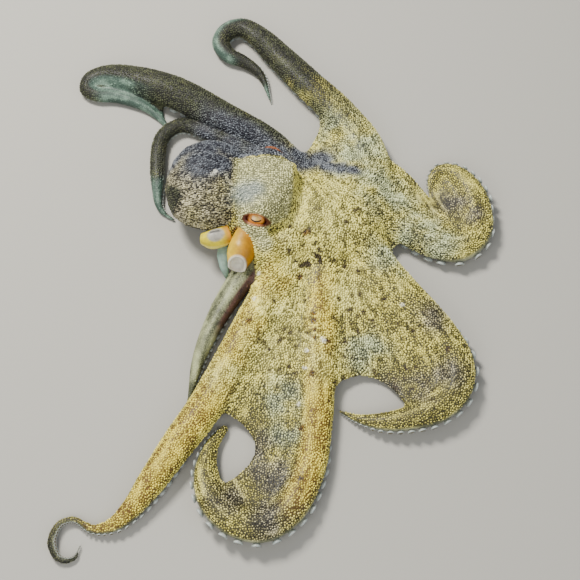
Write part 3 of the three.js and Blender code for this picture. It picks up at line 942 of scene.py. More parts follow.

# Patches of colour that lie across the animal, as (x, y, radius) in mm.
# NAVY patches are partly the dark navy body colour and partly painted shade behind the head and between the
# left arms' roots
NAVY = [(64, 121, 12), (52, 124, 15), (40, 126, 16), (18, 134, 20), (-10, 146, 22), (-36, 150, 22),
        (-60, 136, 26), (-84, 134, 28), (-108, 136, 22), (-62, 162, 18), (-90, 176, 18), (-52, 122, 12),
        (-88, 110, 24), (-70, 108, 18), (-120, 122, 16), (32, 142, 21), (8, 150, 18)]
UMBER = [(-124, 92, 30), (-116, 72, 30), (-96, 62, 28), (-88, 88, 34), (-72, 92, 20), (168, 88, 22),
         (186, 74, 14), (138, -40, 20), (148, -100, 24), (122, -112, 24), (98, -112, 20), (-18, -239, 26),
         (-18, -196, 28), (10, -226, 20), (-56, -220, 22), (-30, -170, 18)]
GREEN = [(84, 118, 30), (76, 98, 22), (70, 156, 40), (48, 190, 34), (52, 124, 22), (98, 100, 40),
         (132, 54, 38), (-8, -120, 28), (-2, -158, 26), (74, -74, 26), (100, 26, 28), (150, 44, 26)]
CREAM = [(14, 84, 22), (30, 66, 28), (4, 58, 18), (50, 50, 30), (0, 20, 34), (-10, -30, 34), (60, -10, 30),
         (44, 92, 18), (-12, 70, 14), (-26, -72, 34), (12, -66, 28), (26, -90, 24), (-60, -100, 26),
         (-24, 34, 16)]
PALE = [(-42, 47, 12), (-30, 44, 10)]
BLUE_BROW = [(-44, 78, 17), (-36, 82, 14)]
# Rust-coloured spots; the first patch, in the gap between the collar lobe and the funnel, is painted shade.
RUST_SPOTS_AND_SHADE = [(-53, 48, 5), (23, -36, 3.4), (23, -44, 3.4), (24, -54, 2.6), (24, -62, 2.6), (24, -69, 2.4),
        (21, -99, 3.6), (15, 47, 4.5), (-40, -46, 4.2), (10, 5, 4), (36, -66, 2.8), (150, -75, 3.5),
        (11, -153, 3.6), (9, -202, 3.2), (9, -213, 3)]
DARK_SPOTS = [(0, 52, 2.9), (67, 11, 3.1), (54, 16, 2.5), (92, -19, 3.1), (60, -14, 2.5), (68, -14, 2.5),
              (48, -19, 2.5), (58, -30, 2.9), (67, -36, 2.7), (-16, -24, 2.6), (-6, -51, 2.5), (66, -52, 2.6),
              (72, -32, 2.4), (48, 0, 2.4), (53, -64, 2.6), (119, -52, 2.5), (-20, -72, 2.4), (-1, -89, 2.6),
              (82, -47, 2.4), (-1, 27, 2.6), (29, 30, 2.8)]
CHEEK_DOTS = [(-37.5, 42.0, 1.9), (-32.5, 39.5, 1.9), (0, 55, 2.2)]
WHITE_MARK = [(-75.0, 96.5, 2.2), (-76.4, 94.0, 2.1), (-73.6, 99.0, 2.0)]
# Big granules, those with a pale tip and those without, and where small dark spots are sown.
PALE_TIPS = [(-35, -21, 1.9), (-31, 6, 1.8), (32, -65, 2.0), (16, -75, 2.0), (14, -93, 1.8), (8, -128, 1.8),
             (109, -27, 1.8)]
PAPILLAE = [(-34.5, -6.0, 4.5), (-30.5, -25.5, 4.5), (-26.5, -38.5, 4.0), (-38.0, 8.0, 4.0),
            (-29.0, -33.0, 3.5)]
SPOTTED = [(20, 30, 60), (40, -20, 50), (50, 60, 40), (90, -50, 46), (0, -70, 44), (104, -98, 36),
           (60, -100, 40)]
# Bands along an arm, as (start, end, strength): golden ridges, and olive that grows from start to end.
RIDGES = {"r3": (30, 430, 1.0), "r2": (40, 340, 0.9), "r1": (330, 420, 0.4)}
DARKER = {"l3": (30, 120, 1.0), "l2": (60, 220, 0.95), "r3": (370, 460, 0.8), "l4": (20, 90, 0.9)}
FOLDED = {"l3": 340, "l2": 395, "l4": 255}    # from here to its tip an arm shows its smooth teal side
# Noise in the markings, as (size of its lumps in mm, seed).
MOTTLE = (16.0, 3)
FLECK = (6.0, 4)
SPOTS, SPOT_EDGES = (5.0, 11), (2.1, 12)
WANDER, SMALL_WANDER = (9.0, 31), (4.0, 32)
BRIGHT_SPOTS = (3.0, 5)
GIRTH_DRIFT = (14.0, 21)
SPOT_TONE = "#2a1c0c"
SPOT_DEPTH = 0.96
GROUND_DROP = 0.50         # how much darker the skin is where granules stand close on it
BRIGHT_BEADS = 0.8         # how much brighter the few lightest granules are


def eye_marks(points):
    """The warm rims of the lids, and painted shade in the creases at the corners of the eyes."""
    lid, corner = np.zeros(len(points)), np.zeros(len(points))
    for side in (1, -1):
        _, level, upright = eye_frame(side)
        off = points - eye_centre(side)
        near = np.linalg.norm(off, axis=1) < EYE_RADIUS + 7
        across = np.abs(off @ level + side * EYE_OPENING_AT[0]) / EYE_OPENING[0]
        gap = slit(points, side)
        lid = np.maximum(lid, ramp(gap, 2.0, 0.6) * near)
        # painted shade: darker creases at the corners of the eye opening
        corner = np.maximum(corner, ramp(gap, 2.0, 0.8) * ramp(across, 0.55, 0.85) * near)
    return lid, corner


def arm_marks(reading, mottle, lay):
    """What follows the arms: golden ridges, olive lengths, navy lengths that are partly painted shade, teal
    undersides, and dark strips of painted shade where the rear right arms face each other.
    """
    for k, name in enumerate(ARMS):
        w, angle = reading.section(k)
        s, a, out = reading.s[k], reading.a[k], reading.out[k]
        mine = reading.owner == k
        own = mine * ramp(out, 3.5, 1.0)
        if name in RIDGES:
            start, end, strength = RIDGES[name]
            along = ramp(s, start, start + 50) * ramp(s, end, end - 60)
            lay("gold", strength * along * ramp(np.abs(a) / w, 1.25, 0.35) * ramp(out, 5, -1))
        if name in DARKER:
            start, end, strength = DARKER[name]
            lay("olive", strength * ramp(s, start, end) * ramp(out, 12, 2) * (1 + 0.3 * mottle))
        if name in FOLDED:
            lay("teal", ramp(s, FOLDED[name], FOLDED[name] + 25) * mine)
        lay("beneath", ramp(np.abs(angle), 2.0, 2.5) * own)
        if name == "l2":
            lay("teal", ramp(s, 280, 305) * ramp(s, 368, 345) * ramp(-a / w, -0.1, 0.6) * own)
        if name == "l3":
            lay("teal", ramp(s, 225, 290) * ramp(a / w, 0.25, 0.75) * own)
            # partly the arm's dark navy colour, partly painted shade along the near side of its root
            lay("navy", ramp(s, 20, 60) * ramp(s, 220, 120) * ramp(a / w, -0.7, 0.6) * own)
        if name == "r3":
            # painted shade: a dark strip along the third right arm's edge that faces the fourth
            lay("rim", 0.8 * ramp(-a / w, 0.8, 1.05) * ramp(s, 60, 110) * ramp(s, 300, 230) * own)
        if name == "r4":
            lay("sleeve", ramp(out, 4, 1) * mine)
            # painted shade: the fourth right arm's side that faces the third, in shadow
            lay("rim", ramp(a / w, 0.30, 0.62) * mine * ramp(s, 180, 140))


def markings(reading, normals, furrows):
    """How strongly each point of the skin shows each tone, from 0 to 1, how raised it is, and its spots."""
    p, owner = reading.points, reading.owner
    x, y, z = p.T
    mottle = value_noise(p, *MOTTLE)
    fleck = value_noise(p, *FLECK)
    marks = {name: np.zeros(len(p)) for name in TONES}

    def lay(name, mark):
        marks[name] = np.maximum(marks[name], mark)

    def patchy(places, breaks):
        return np.clip(patch(p, places) * breaks, 0, 1)

    arm_marks(reading, mottle, lay)
    lay("beneath", ramp(normals[:, 2], -0.2, -0.6))
    block = ramp(x, -60, -49) * ramp(x, 5, 0) * ramp(y, 121.5, 118.5) * ramp(z, 35, 45)
    ground = 1 - block
    upper = ramp(normals[:, 2], 0.2, 0.5)
    blotch = 0.75 + 0.5 * mottle + 0.25 * fleck
    lay("pale", np.maximum(block, patch(p, PALE) * ramp(z, 20, 30)))
    lay("brow", 0.9 * patch(p, BLUE_BROW) * ramp(z, 38, 48))
    # navy patches: partly body colour, partly painted shade
    lay("navy", patchy(NAVY, 1.05 + 0.25 * mottle) * ground)
    # painted shade: the far side of the head beyond the block's edge is made dark navy, so that the edge
    # looks sharp
    lay("navy", (owner >= HEAD_AT) * ramp(y, 121, 124) * (x > -60))
    lay("umber", patchy(UMBER, blotch) * (1 - 0.8 * marks["gold"]))
    lay("umber", (owner == MANTLE_AT) * ramp(x, -46, -56) * (0.75 + 0.3 * mottle))
    marks["umber"] *= ground
    lay("green", patchy(GREEN, blotch) * ground * (1 - marks["gold"]))
    lay("cream", 0.8 * patchy(CREAM, 0.9 + 0.3 * mottle) * ground)
    # rust-coloured spots, and painted shade in the gap between the collar lobe and the funnel
    lay("rust", 0.85 * ramp(patch(p, RUST_SPOTS_AND_SHADE) + 0.2 * fleck, 0.15, 0.65) * upper)
    lay("white", ramp(patch(p, WHITE_MARK), 0.3, 0.6) * (z > 40))
    lay("white", ramp(patch(p, PALE_TIPS), 0.1, 0.5) * upper)
    # lid is the lids' own warm colour; corner is painted shade
    marks["lid"], marks["corner"] = eye_marks(p)
    arm_like = (owner < HEAD_AT) * ground
    wave, shown = brow_rings(p)
    crest = 0.46 + 0.26 * furrows.read(p) * arm_like + 0.12 * fleck + 0.08 * mottle + 0.24 * wave * shown
    crest += 0.14 * np.maximum(marks["gold"], marks["cream"])
    # navy also lowers the crests, which deepens its painted shade
    crest -= 0.45 * marks["umber"] + 0.20 * marks["olive"] + 0.15 * marks["navy"]
    spot = ramp(value_noise(p, *SPOTS) + 0.30 * value_noise(p, *SPOT_EDGES), 0.44, 0.64) * arm_like
    spot *= np.clip(0.15 + patch(p, SPOTTED), 0, 1) * upper * (1 - marks["sleeve"])
    spot += patch(p, CHEEK_DOTS) ** 2 * ramp(z, 10, 20) + ramp(patch(p, DARK_SPOTS), 0.1, 0.6) * upper
    return marks, np.clip(crest, 0, 1), np.clip(spot, 0, 1)


def linear(code):
    """An sRGB hex value as the shader's linear colour."""
    parts = [int(code[i:i + 2], 16) / 255 for i in (1, 3, 5)]
    return [*(v / 12.92 if v <= 0.04045 else ((v + 0.055) / 1.055) ** 2.4 for v in parts), 1.0]


def blended(base, *layers):
    """One colour for each point: a hex tone, and layers over it, each a hex tone and how much of it shows."""
    tone = np.array(linear(base))
    for code, share in layers:
        tone = tone * (1 - share[:, None]) + np.array(linear(code)) * share[:, None]
    return tone


def paint(marks, spot, points):
    """The colours of the furrows and of the crests at each point."""
    wander = 0.10 * value_noise(points, *WANDER) + 0.05 * value_noise(points, *SMALL_WANDER)
    shares = {name: ramp(mark + wander * (mark > 0.03), 0.0, 0.90) for name, mark in marks.items()}
    tones = []
    for which in (0, 1):
        layers = [(TONES[name][which], share) for name, share in shares.items()]
        tones.append(blended(TONES["plain"][which], *layers, (SPOT_TONE, SPOT_DEPTH * spot)))
    return tones


def coat_measure(reading, normals, marks):
    """How thickly the granules stand, from 0 to 1, and how big they are, in mm of radius."""
    owner = reading.owner
    cover = (1 - ramp(marks["beneath"], 0.25, 0.6)) * ramp(normals[:, 2], -0.35, 0.0)
    for side in (1, -1):
        cover = cover * ramp(slit(reading.points, side), 0.8, 2.0)
    size = np.full(len(reading.points), 1.1)
    for k, arm in enumerate(arms.values()):
        share = np.clip(reading.s[k] / arm.length, 0, 1)
        size = np.where(owner == k, 1.22 - 0.5 * share, size)
        thin = arm.read(arm.half_width, np.clip(reading.s[k], 0, arm.length))
        cover = np.where((owner == k) & (thin < 3.2), 0.3 * cover, cover)
    size = np.where(owner == MANTLE_AT, 1.12, size)
    size = size * (1 - 0.20 * marks["pale"]) * (1 - 0.45 * marks["lid"])
    wrinkled = brow_rings(reading.points)[1]
    smooth_skin = np.maximum.reduce([marks["teal"], marks["sleeve"], 0.5 * wrinkled])
    size *= 1 + 0.22 * value_noise(reading.points, *GIRTH_DRIFT)
    size *= 1 + 1.1 * ramp(patch(reading.points, PAPILLAE + PALE_TIPS), 0.3, 0.8)
    return cover * (1 - 0.96 * ramp(smooth_skin, 0.2, 0.9)), size


def mark_skin(obj):
    mesh = obj.data
    points, normals = read_vertices(mesh)
    reading = Reading(points)
    low, high = points.min(axis=0)[:2] - 4, points.max(axis=0)[:2] + 4
    marks, crest, spot = markings(reading, normals, Furrows(low, high))
    furrow_tone, crest_tone = paint(marks, spot, points)
    cover, size = coat_measure(reading, normals, marks)
    store(mesh, "furrow_tone", furrow_tone, "FLOAT_COLOR")
    store(mesh, "crest_tone", crest_tone, "FLOAT_COLOR")
    store(mesh, "crest", np.clip(crest - GROUND_DROP * cover, 0, 1))
    bright = ramp(value_noise(points, *BRIGHT_SPOTS), 0.42, 0.62)
    store(mesh, "bead_crest", crest + BRIGHT_BEADS * bright)
    store(mesh, "cover", cover)
    store(mesh, "grain", size * MM)
    store(mesh, "flow", flow_field(reading, normals), "FLOAT_VECTOR")
    return reading, cover


reading, cover = mark_skin(skin)


# ---- Materials ----

SEAM_CELL, GRIT, CLOUD = 0.0021, 0.0011, 0.005   # m, from one to the next


def add(tree, kind, inputs=None, **settings):
    """Adds a node with its settings. An input is set to a value, or linked from a socket or from the first
    live output of a node."""
    made = tree.nodes.new(kind)
    for key, value in settings.items():
        setattr(made, key, value)
    for key, value in (inputs or {}).items():
        socket = made.inputs[key]
        if isinstance(value, bpy.types.Node):
            value = next(output for output in value.outputs if output.enabled)
        if isinstance(value, bpy.types.NodeSocket):
            tree.links.new(value, socket)
        else:
            socket.default_value = value
    return made


def new_material(name):
    material = bpy.data.materials.new(name)
    material.use_nodes = True
    material.node_tree.nodes.clear()
    return material, material.node_tree


def skin_material():
    """Wet octopus skin, grown as granules over darker furrows. To the eye it is matt flesh under a thin
    film of water: pale crests, dark lines between them, and colour that drifts in soft patches."""
    material, tree = new_material("octopus_skin_wet_granular")
    place = add(tree, "ShaderNodeTexCoord").outputs["Object"]
    furrow = add(tree, "ShaderNodeAttribute", attribute_name="furrow_tone").outputs["Color"]
    top = add(tree, "ShaderNodeAttribute", attribute_name="crest_tone").outputs["Color"]
    crest = add(tree, "ShaderNodeAttribute", attribute_name="crest").outputs["Fac"]
    # cells with dark seams, as the granules show where they are too small to stand as shapes
    seams = add(tree, "ShaderNodeTexVoronoi", {"Vector": place, "Scale": 1 / SEAM_CELL},
                feature="DISTANCE_TO_EDGE")
    cell = add(tree, "ShaderNodeMapRange", {0: seams, 1: 0.02, 2: 0.30, 3: -0.20, 4: 0.14})
    grit = add(tree, "ShaderNodeTexNoise", {"Vector": place, "Scale": 1 / GRIT, "Detail": 2.0})
    grit_tone = add(tree, "ShaderNodeMapRange", {0: grit, 1: 0.3, 2: 0.7, 3: -0.14, 4: 0.14})
    texture = add(tree, "ShaderNodeMath", {0: cell, 1: grit_tone}, operation="ADD")
    raised = add(tree, "ShaderNodeMath", {0: crest, 1: texture}, operation="ADD", use_clamp=True)
    colour = add(tree, "ShaderNodeMix", {0: raised, 6: furrow, 7: top}, data_type="RGBA")
    bump = add(tree, "ShaderNodeBump", {"Height": texture, "Distance": 0.0009, "Strength": 0.7})
    gloss = add(tree, "ShaderNodeMapRange", {0: grit, 1: 0.3, 2: 0.7, 3: 0.46, 4: 0.64})
    shader = add(tree, "ShaderNodeBsdfPrincipled", {
        "Base Color": colour, "Roughness": gloss, "IOR": 1.4, "Coat Weight": 0.08, "Coat Roughness": 0.3,
        "Normal": bump,
    })
    add(tree, "ShaderNodeOutputMaterial", {"Surface": shader})
    return material


def membrane_material(name, roughness, tone_from):
    """Smooth wet membrane over muscle, as suckers and funnels have. To the eye it is waxy, with soft
    cloudy mottling and a sheen of water."""
    material, tree = new_material(name)
    place = add(tree, "ShaderNodeTexCoord").outputs["Object"]
    tone = add(tree, "ShaderNodeAttribute", attribute_name=tone_from).outputs["Color"]
    cloud = add(tree, "ShaderNodeTexNoise", {"Vector": place, "Scale": 1 / CLOUD, "Detail": 5.0})
    shade = add(tree, "ShaderNodeMapRange", {0: cloud, 1: 0.3, 2: 0.7, 3: 0.78, 4: 1.15})
    colour = add(tree, "ShaderNodeVectorMath", {0: tone, "Scale": shade}, operation="SCALE")
    bump = add(tree, "ShaderNodeBump", {"Height": cloud, "Distance": 0.0005, "Strength": 0.5})
    shader = add(tree, "ShaderNodeBsdfPrincipled", {
        "Base Color": colour, "Roughness": roughness, "IOR": 1.4, "Coat Weight": 0.06, "Coat Roughness": 0.2,
        "Subsurface Weight": 0.05, "Subsurface Radius": (0.004, 0.002, 0.001), "Subsurface Scale": 0.6,
        "Normal": bump,
    })
    add(tree, "ShaderNodeOutputMaterial", {"Surface": shader})
    return material


def eye_material():
    """The eye: a golden iris with a level slit pupil, under a wet clear cornea. To the eye it is a bright
    amber ball that darkens to brown in the corners; that darkening is painted shade under the lids."""
    material, tree = new_material("eye_golden_iris_wet_cornea")
    tone = add(tree, "ShaderNodeAttribute", attribute_name="iris_tone").outputs["Color"]
    gap = add(tree, "ShaderNodeAttribute", attribute_name="pupil_gap").outputs["Fac"]
    spokes = add(tree, "ShaderNodeUVMap", uv_map="spokes")
    grain = add(tree, "ShaderNodeTexNoise", {"Vector": spokes, "Scale": 7.0, "Detail": 4.0})
    shade = add(tree, "ShaderNodeMapRange", {0: grain, 1: 0.3, 2: 0.7, 3: 0.7, 4: 1.15})
    iris = add(tree, "ShaderNodeVectorMath", {0: tone, "Scale": shade}, operation="SCALE")
    pupil = add(tree, "ShaderNodeMapRange", {0: gap, 1: 0.25, 2: -0.25, 3: 0.0, 4: 1.0})
    colour = add(tree, "ShaderNodeMix", {0: pupil, 6: iris, 7: linear("#150504")}, data_type="RGBA")
    shader = add(tree, "ShaderNodeBsdfPrincipled", {
        "Base Color": colour, "Roughness": 0.35, "IOR": 1.38, "Coat Weight": 1.0, "Coat Roughness": 0.05,
    })
    add(tree, "ShaderNodeOutputMaterial", {"Surface": shader})
    return material


SKIN_FINISH = skin_material()
SUCKER_FINISH = membrane_material("sucker_flesh_waxy", 0.38, "tone")
FUNNEL_FINISH = membrane_material("funnel_membrane_wet", 0.46, "tone")
EYE_FINISH = eye_material()
skin.data.materials.append(SKIN_FINISH)


# ---- The coat of granules ----

TUFT_PATCH = 0.0015        # half the width of one granule's patch on the bake map
GRANULE_HEIGHT = 0.85      # of its radius
GRANULE_SIDES, GRANULE_RINGS = 6, 3
GRANULE_POINTS = GRANULE_SIDES * (GRANULE_RINGS - 1) + 2
GRANULE_DENSITY = 900000.0  # at most so many are tried on a square metre
# The bodies that each piece covers, the gap between granules in m, and their length in radii.
COAT_PIECES = {
    "granules_head_and_mantle": (["head", "mantle"], 0.00175, 1.45),
    "granules_left_front_arms": (["l1", "l2"], 0.00185, 1.25),
    "granules_left_rear_arms": (["l3", "l4"], 0.0018, 1.25),
    "granules_right_front_arms": (["r1", "r2"], 0.0019, 1.2),
    "granules_right_rear_arms": (["r3", "r4"], 0.0018, 1.2),
}


def granule_tree():
    """Beads set over a surface, each lying along the flow, toned and mapped from where its root stands."""
    tree = bpy.data.node_groups.new("granules_on_skin", "GeometryNodeTree")
    kinds = {
        "Skin": "NodeSocketGeometry", "Spacing": "NodeSocketFloat", "Length": "NodeSocketFloat",
        "Height": "NodeSocketFloat", "Seed": "NodeSocketInt", "Patch": "NodeSocketFloat",
        "Finish": "NodeSocketMaterial",
    }
    for label, kind in kinds.items():
        tree.interface.new_socket(label, in_out="INPUT", socket_type=kind)
    tree.interface.new_socket("Granules", in_out="OUTPUT", socket_type="NodeSocketGeometry")
    given = add(tree, "NodeGroupInput").outputs
    read = {
        name: add(tree, "GeometryNodeInputNamedAttribute", {"Name": name}, data_type=kind)
        for name, kind in {
            "cover": "FLOAT", "grain": "FLOAT", "bead_crest": "FLOAT", "flow": "FLOAT_VECTOR",
            "OFBake": "FLOAT_VECTOR", "root": "FLOAT_VECTOR", "bead": "FLOAT_VECTOR",
        }.items()
    }
    scatter = add(tree, "GeometryNodeDistributePointsOnFaces", {
        "Mesh": given["Skin"], "Distance Min": given["Spacing"], "Density Max": GRANULE_DENSITY,
        "Density Factor": read["cover"], "Seed": given["Seed"],
    }, distribute_method="POISSON")
    rooted = add(tree, "GeometryNodeStoreNamedAttribute", {
        "Geometry": scatter, "Name": "root", "Value": read["OFBake"],
    }, data_type="FLOAT_VECTOR", domain="POINT")
    bare = add(tree, "GeometryNodeRemoveAttribute", {"Geometry": rooted, "Name": "OFBake"})
    chance = add(tree, "FunctionNodeRandomValue", {2: 0.02, 3: 0.76, "Seed": given["Seed"]},
                 data_type="FLOAT")
    tone = add(tree, "ShaderNodeMath", {0: read["bead_crest"], 1: 0.70, 2: chance},
               operation="MULTIPLY_ADD")
    toned = add(tree, "GeometryNodeStoreNamedAttribute", {
        "Geometry": bare, "Name": "crest", "Value": tone,
    }, data_type="FLOAT", domain="POINT")
    lying = add(tree, "FunctionNodeAlignRotationToVector", {
        "Rotation": scatter.outputs["Rotation"], "Vector": read["flow"],
    }, axis="X", pivot_axis="Z")
    shape = add(tree, "ShaderNodeCombineXYZ", {0: given["Length"], 1: 1.0, 2: given["Height"]})
    vary = add(tree, "FunctionNodeRandomValue", {
        0: (0.78, 0.78, 0.6), 1: (1.22, 1.18, 1.3), "Seed": given["Seed"],
    }, data_type="FLOAT_VECTOR")
    varied = add(tree, "ShaderNodeVectorMath", {0: shape, 1: vary}, operation="MULTIPLY")
    size = add(tree, "ShaderNodeVectorMath", {0: varied, "Scale": read["grain"]}, operation="SCALE")
    ball = add(tree, "GeometryNodeMeshUVSphere", {
        "Segments": GRANULE_SIDES, "Rings": GRANULE_RINGS, "Radius": 1.0,
    })
    bead = add(tree, "GeometryNodeStoreNamedAttribute", {
        "Geometry": ball, "Name": "bead", "Value": add(tree, "GeometryNodeInputPosition"),
    }, data_type="FLOAT_VECTOR", domain="POINT")
    placed = add(tree, "GeometryNodeInstanceOnPoints", {
        "Points": toned, "Instance": bead, "Rotation": lying, "Scale": size,
    })
    solid = add(tree, "GeometryNodeRealizeInstances", {"Geometry": placed})
    inside = add(tree, "ShaderNodeVectorMath", {0: read["bead"], "Scale": given["Patch"]}, operation="SCALE")
    on_map = add(tree, "ShaderNodeVectorMath", {0: read["root"], 1: inside})
    mapped = add(tree, "GeometryNodeStoreNamedAttribute", {
        "Geometry": solid, "Name": "OFBake", "Value": on_map,
    }, data_type="FLOAT2", domain="CORNER")
    smoothed = add(tree, "GeometryNodeSetShadeSmooth", {"Geometry": mapped})
    finished = add(tree, "GeometryNodeSetMaterial", {"Geometry": smoothed, "Material": given["Finish"]})
    add(tree, "NodeGroupOutput", {0: finished})
    return tree


def run_tree(ground, tree, values, name):
    """The tree's result on an object as a plain mesh, in a new object."""
    modifier = ground.modifiers.new("nodes", "NODES")
    modifier.node_group = tree
    for socket in tree.interface.items_tree:
        if socket.in_out == "INPUT" and socket.name in values:
            modifier[socket.identifier] = values[socket.name]
    bpy.context.view_layer.update()
    mesh = bpy.data.meshes.new_from_object(ground.evaluated_get(bpy.context.evaluated_depsgraph_get()))
    ground.modifiers.remove(modifier)
    mesh.name = name
    return new_object(name, mesh)


def skin_part(bodies, body_of_face, name):
    """A copy of the skin's faces that belong to some bodies, with the bodies unrolled side by side on to
    the bake map."""
    mesh = skin.data.copy()
    part = new_object(name, mesh)
    corners = read_counts(mesh.loops, "vertex_index")
    body_of_corner = np.repeat(body_of_face, read_counts(mesh.polygons, "loop_total"))
    place = np.zeros((len(corners), 2))
    reach = np.zeros(2)
    for body in bodies:
        mine = body_of_corner == BODIES.index(body)
        chart = reading.chart(BODIES.index(body), corners[mine])
        covered = cover[corners[mine]] > 0.02
        chart += [0, reach[1]] - chart[covered].min(axis=0)
        place[mine] = chart
        reach = np.maximum(reach, chart[covered].max(axis=0) + [0, 6])
    store(mesh, "OFBake", 0.01 + 0.98 * place / reach.max(), "FLOAT2", "CORNER")
    work = bmesh.new()
    work.from_mesh(mesh)
    other = ~np.isin(body_of_face, [BODIES.index(body) for body in bodies])
    bmesh.ops.delete(work, geom=[face for face, gone in zip(work.faces, other) if gone], context="FACES")
    work.to_mesh(mesh)
    work.free()
    return part


def make_coat():
    corners = read_counts(skin.data.loops, "vertex_index")
    body_of_face = reading.owner[corners[read_counts(skin.data.polygons, "loop_start")]]
    tree = granule_tree()
    pieces = []
    for number, (name, (bodies, spacing, length)) in enumerate(COAT_PIECES.items()):
        part = skin_part(bodies, body_of_face, name + "_ground")
        piece = run_tree(part, tree, {
            "Spacing": spacing * 1.0, "Length": length, "Height": GRANULE_HEIGHT,
            "Seed": SEED + number, "Patch": TUFT_PATCH, "Finish": SKIN_FINISH,
        }, name)
        bpy.data.objects.remove(part)
        for spare in ("root", "bead", "bead_crest", "flow", "cover", "grain", "id"):
            if spare in piece.data.attributes:
                piece.data.attributes.remove(piece.data.attributes[spare])
        keep_inside(piece.data)
        print(name, len(piece.data.vertices) // GRANULE_POINTS, "granules")
        pieces.append(piece)
    return pieces


coat = make_coat()


# ---- Suckers ----

SUCKER_SHARE = 0.30        # a sucker's radius over its arm's half width
SUCKER_STEP = 1.2          # from a sucker to the next one of the other row, in radii
ROW_ANGLE = math.radians(33)
# Rings of a sucker from its foot up over the rim and down into the cup, as radius and height in its own
# radii, and tone. It ends in a point below and in one at the bottom of the cup, as (height, tone).
# The tones that darken down into the cup, and its dark bottom, are painted shade.
SUCKER_RINGS = [
    (0.62, -0.5, "#6f7266"), (0.66, 0.05, "#6f7266"), (0.94, 0.38, "#a3aaa6"), (1.0, 0.58, "#a3aaa6"),
    (0.90, 0.72, "#a3aaa6"), (0.68, 0.66, "#716a58"), (0.34, 0.38, "#443828"),
]
SUCKER_ENDS = [(-0.5, "#6f7266"), (0.34, "#382c1e")]
SUCKER_SIDES = 11
SUCKER_START, SUCKER_END = 20.0, 3.0   # the rows start and end this far from the ends of an arm, mm


def sucker_places():
    """Place, facing, radius and height of two staggered rows under every arm."""
    made = []
    for arm in arms.values():
        s, side = SUCKER_START, 1
        while s < arm.length - SUCKER_END:
            w, h = arm.read(arm.half_width, s) - COAT_DEPTH, arm.read(arm.half_height, s) - COAT_DEPTH
            shape, roll = arm.read(arm.turn, s), arm.read(arm.roll, s)
            radius = SUCKER_SHARE * (w + COAT_DEPTH)
            angle = -math.pi / 2 + side * ROW_ANGLE + roll
            a, up = w * math.cos(angle), h * math.sin(angle)
            outward = np.array([math.cos(angle) / w, math.sin(angle) / h])
            turned = np.array([[math.cos(shape), math.sin(shape)], [-math.sin(shape), math.cos(shape)]])
            a, up = np.array([a, up]) @ turned
            outward = outward @ turned / np.linalg.norm(outward)
            z = arm.read(arm.middle, s) + up
            belly = arm.read(arm.belly, s)
            tall = 1.0
            if z < belly:
                z, outward, tall = belly, np.array([0.0, -1.0]), min(1.0, belly / (0.75 * radius))
            across = arm.read(arm.across, s)
            spot = np.array([*(arm.read(arm.place, s) + across * a), z])
            facing = np.array([*(across * outward[0]), outward[1]])
            made.append((spot, facing, radius, tall * radius))
            side = -side
            s += radius * SUCKER_STEP
    return made


def make_suckers():
    """Cups joined into one mesh. Each is set deep enough to stay in the box of the solids."""
    around = np.arange(SUCKER_SIDES) / SUCKER_SIDES * 2 * math.pi
    unit = [(r * math.cos(turn), r * math.sin(turn), z) for r, z, _ in SUCKER_RINGS for turn in around]
    unit = np.array(unit + [(0, 0, z) for z, _ in SUCKER_ENDS])
    tones = [linear(code) for _, _, code in SUCKER_RINGS for _ in around]
    tones += [linear(code) for _, code in SUCKER_ENDS]
    faces = ring_faces(len(SUCKER_RINGS), SUCKER_SIDES, len(unit) - 2, len(unit) - 1)
    points, every = [], []
    for spot, facing, radius, tall in sucker_places():
        level = np.cross(facing, [0.31, 0.87, 0.38])
        level /= np.linalg.norm(level)
        cup = unit * [radius, radius, tall]
        cup = spot + cup[:, :1] * level + cup[:, 1:2] * np.cross(facing, level) + cup[:, 2:] * facing
        cup -= np.maximum(cup.max(axis=0) - BOX_HIGH, 0)
        cup -= np.minimum(cup.min(axis=0) - BOX_LOW, 0) * [1, 1, 0]
        cup[:, 2] = np.maximum(cup[:, 2], 0.15)
        every.append(faces + len(points) * len(unit))
        points.append(cup)
    made = mesh_object("suckers", np.vstack(points), np.vstack(every))
    store(made.data, "tone", np.tile(tones, (len(points), 1)), "FLOAT_COLOR")
    made.data.materials.append(SUCKER_FINISH)
    print("suckers", len(points))
    return made


suckers = make_suckers()


# ---- Eyes ----

EYE_RINGS, EYE_SIDES = 36, 56
EYE_GAP = 0.05             # between an eyeball and its socket, mm
PUPIL_HALF = (4.6, 0.85)   # half length and half width of the slit, mm

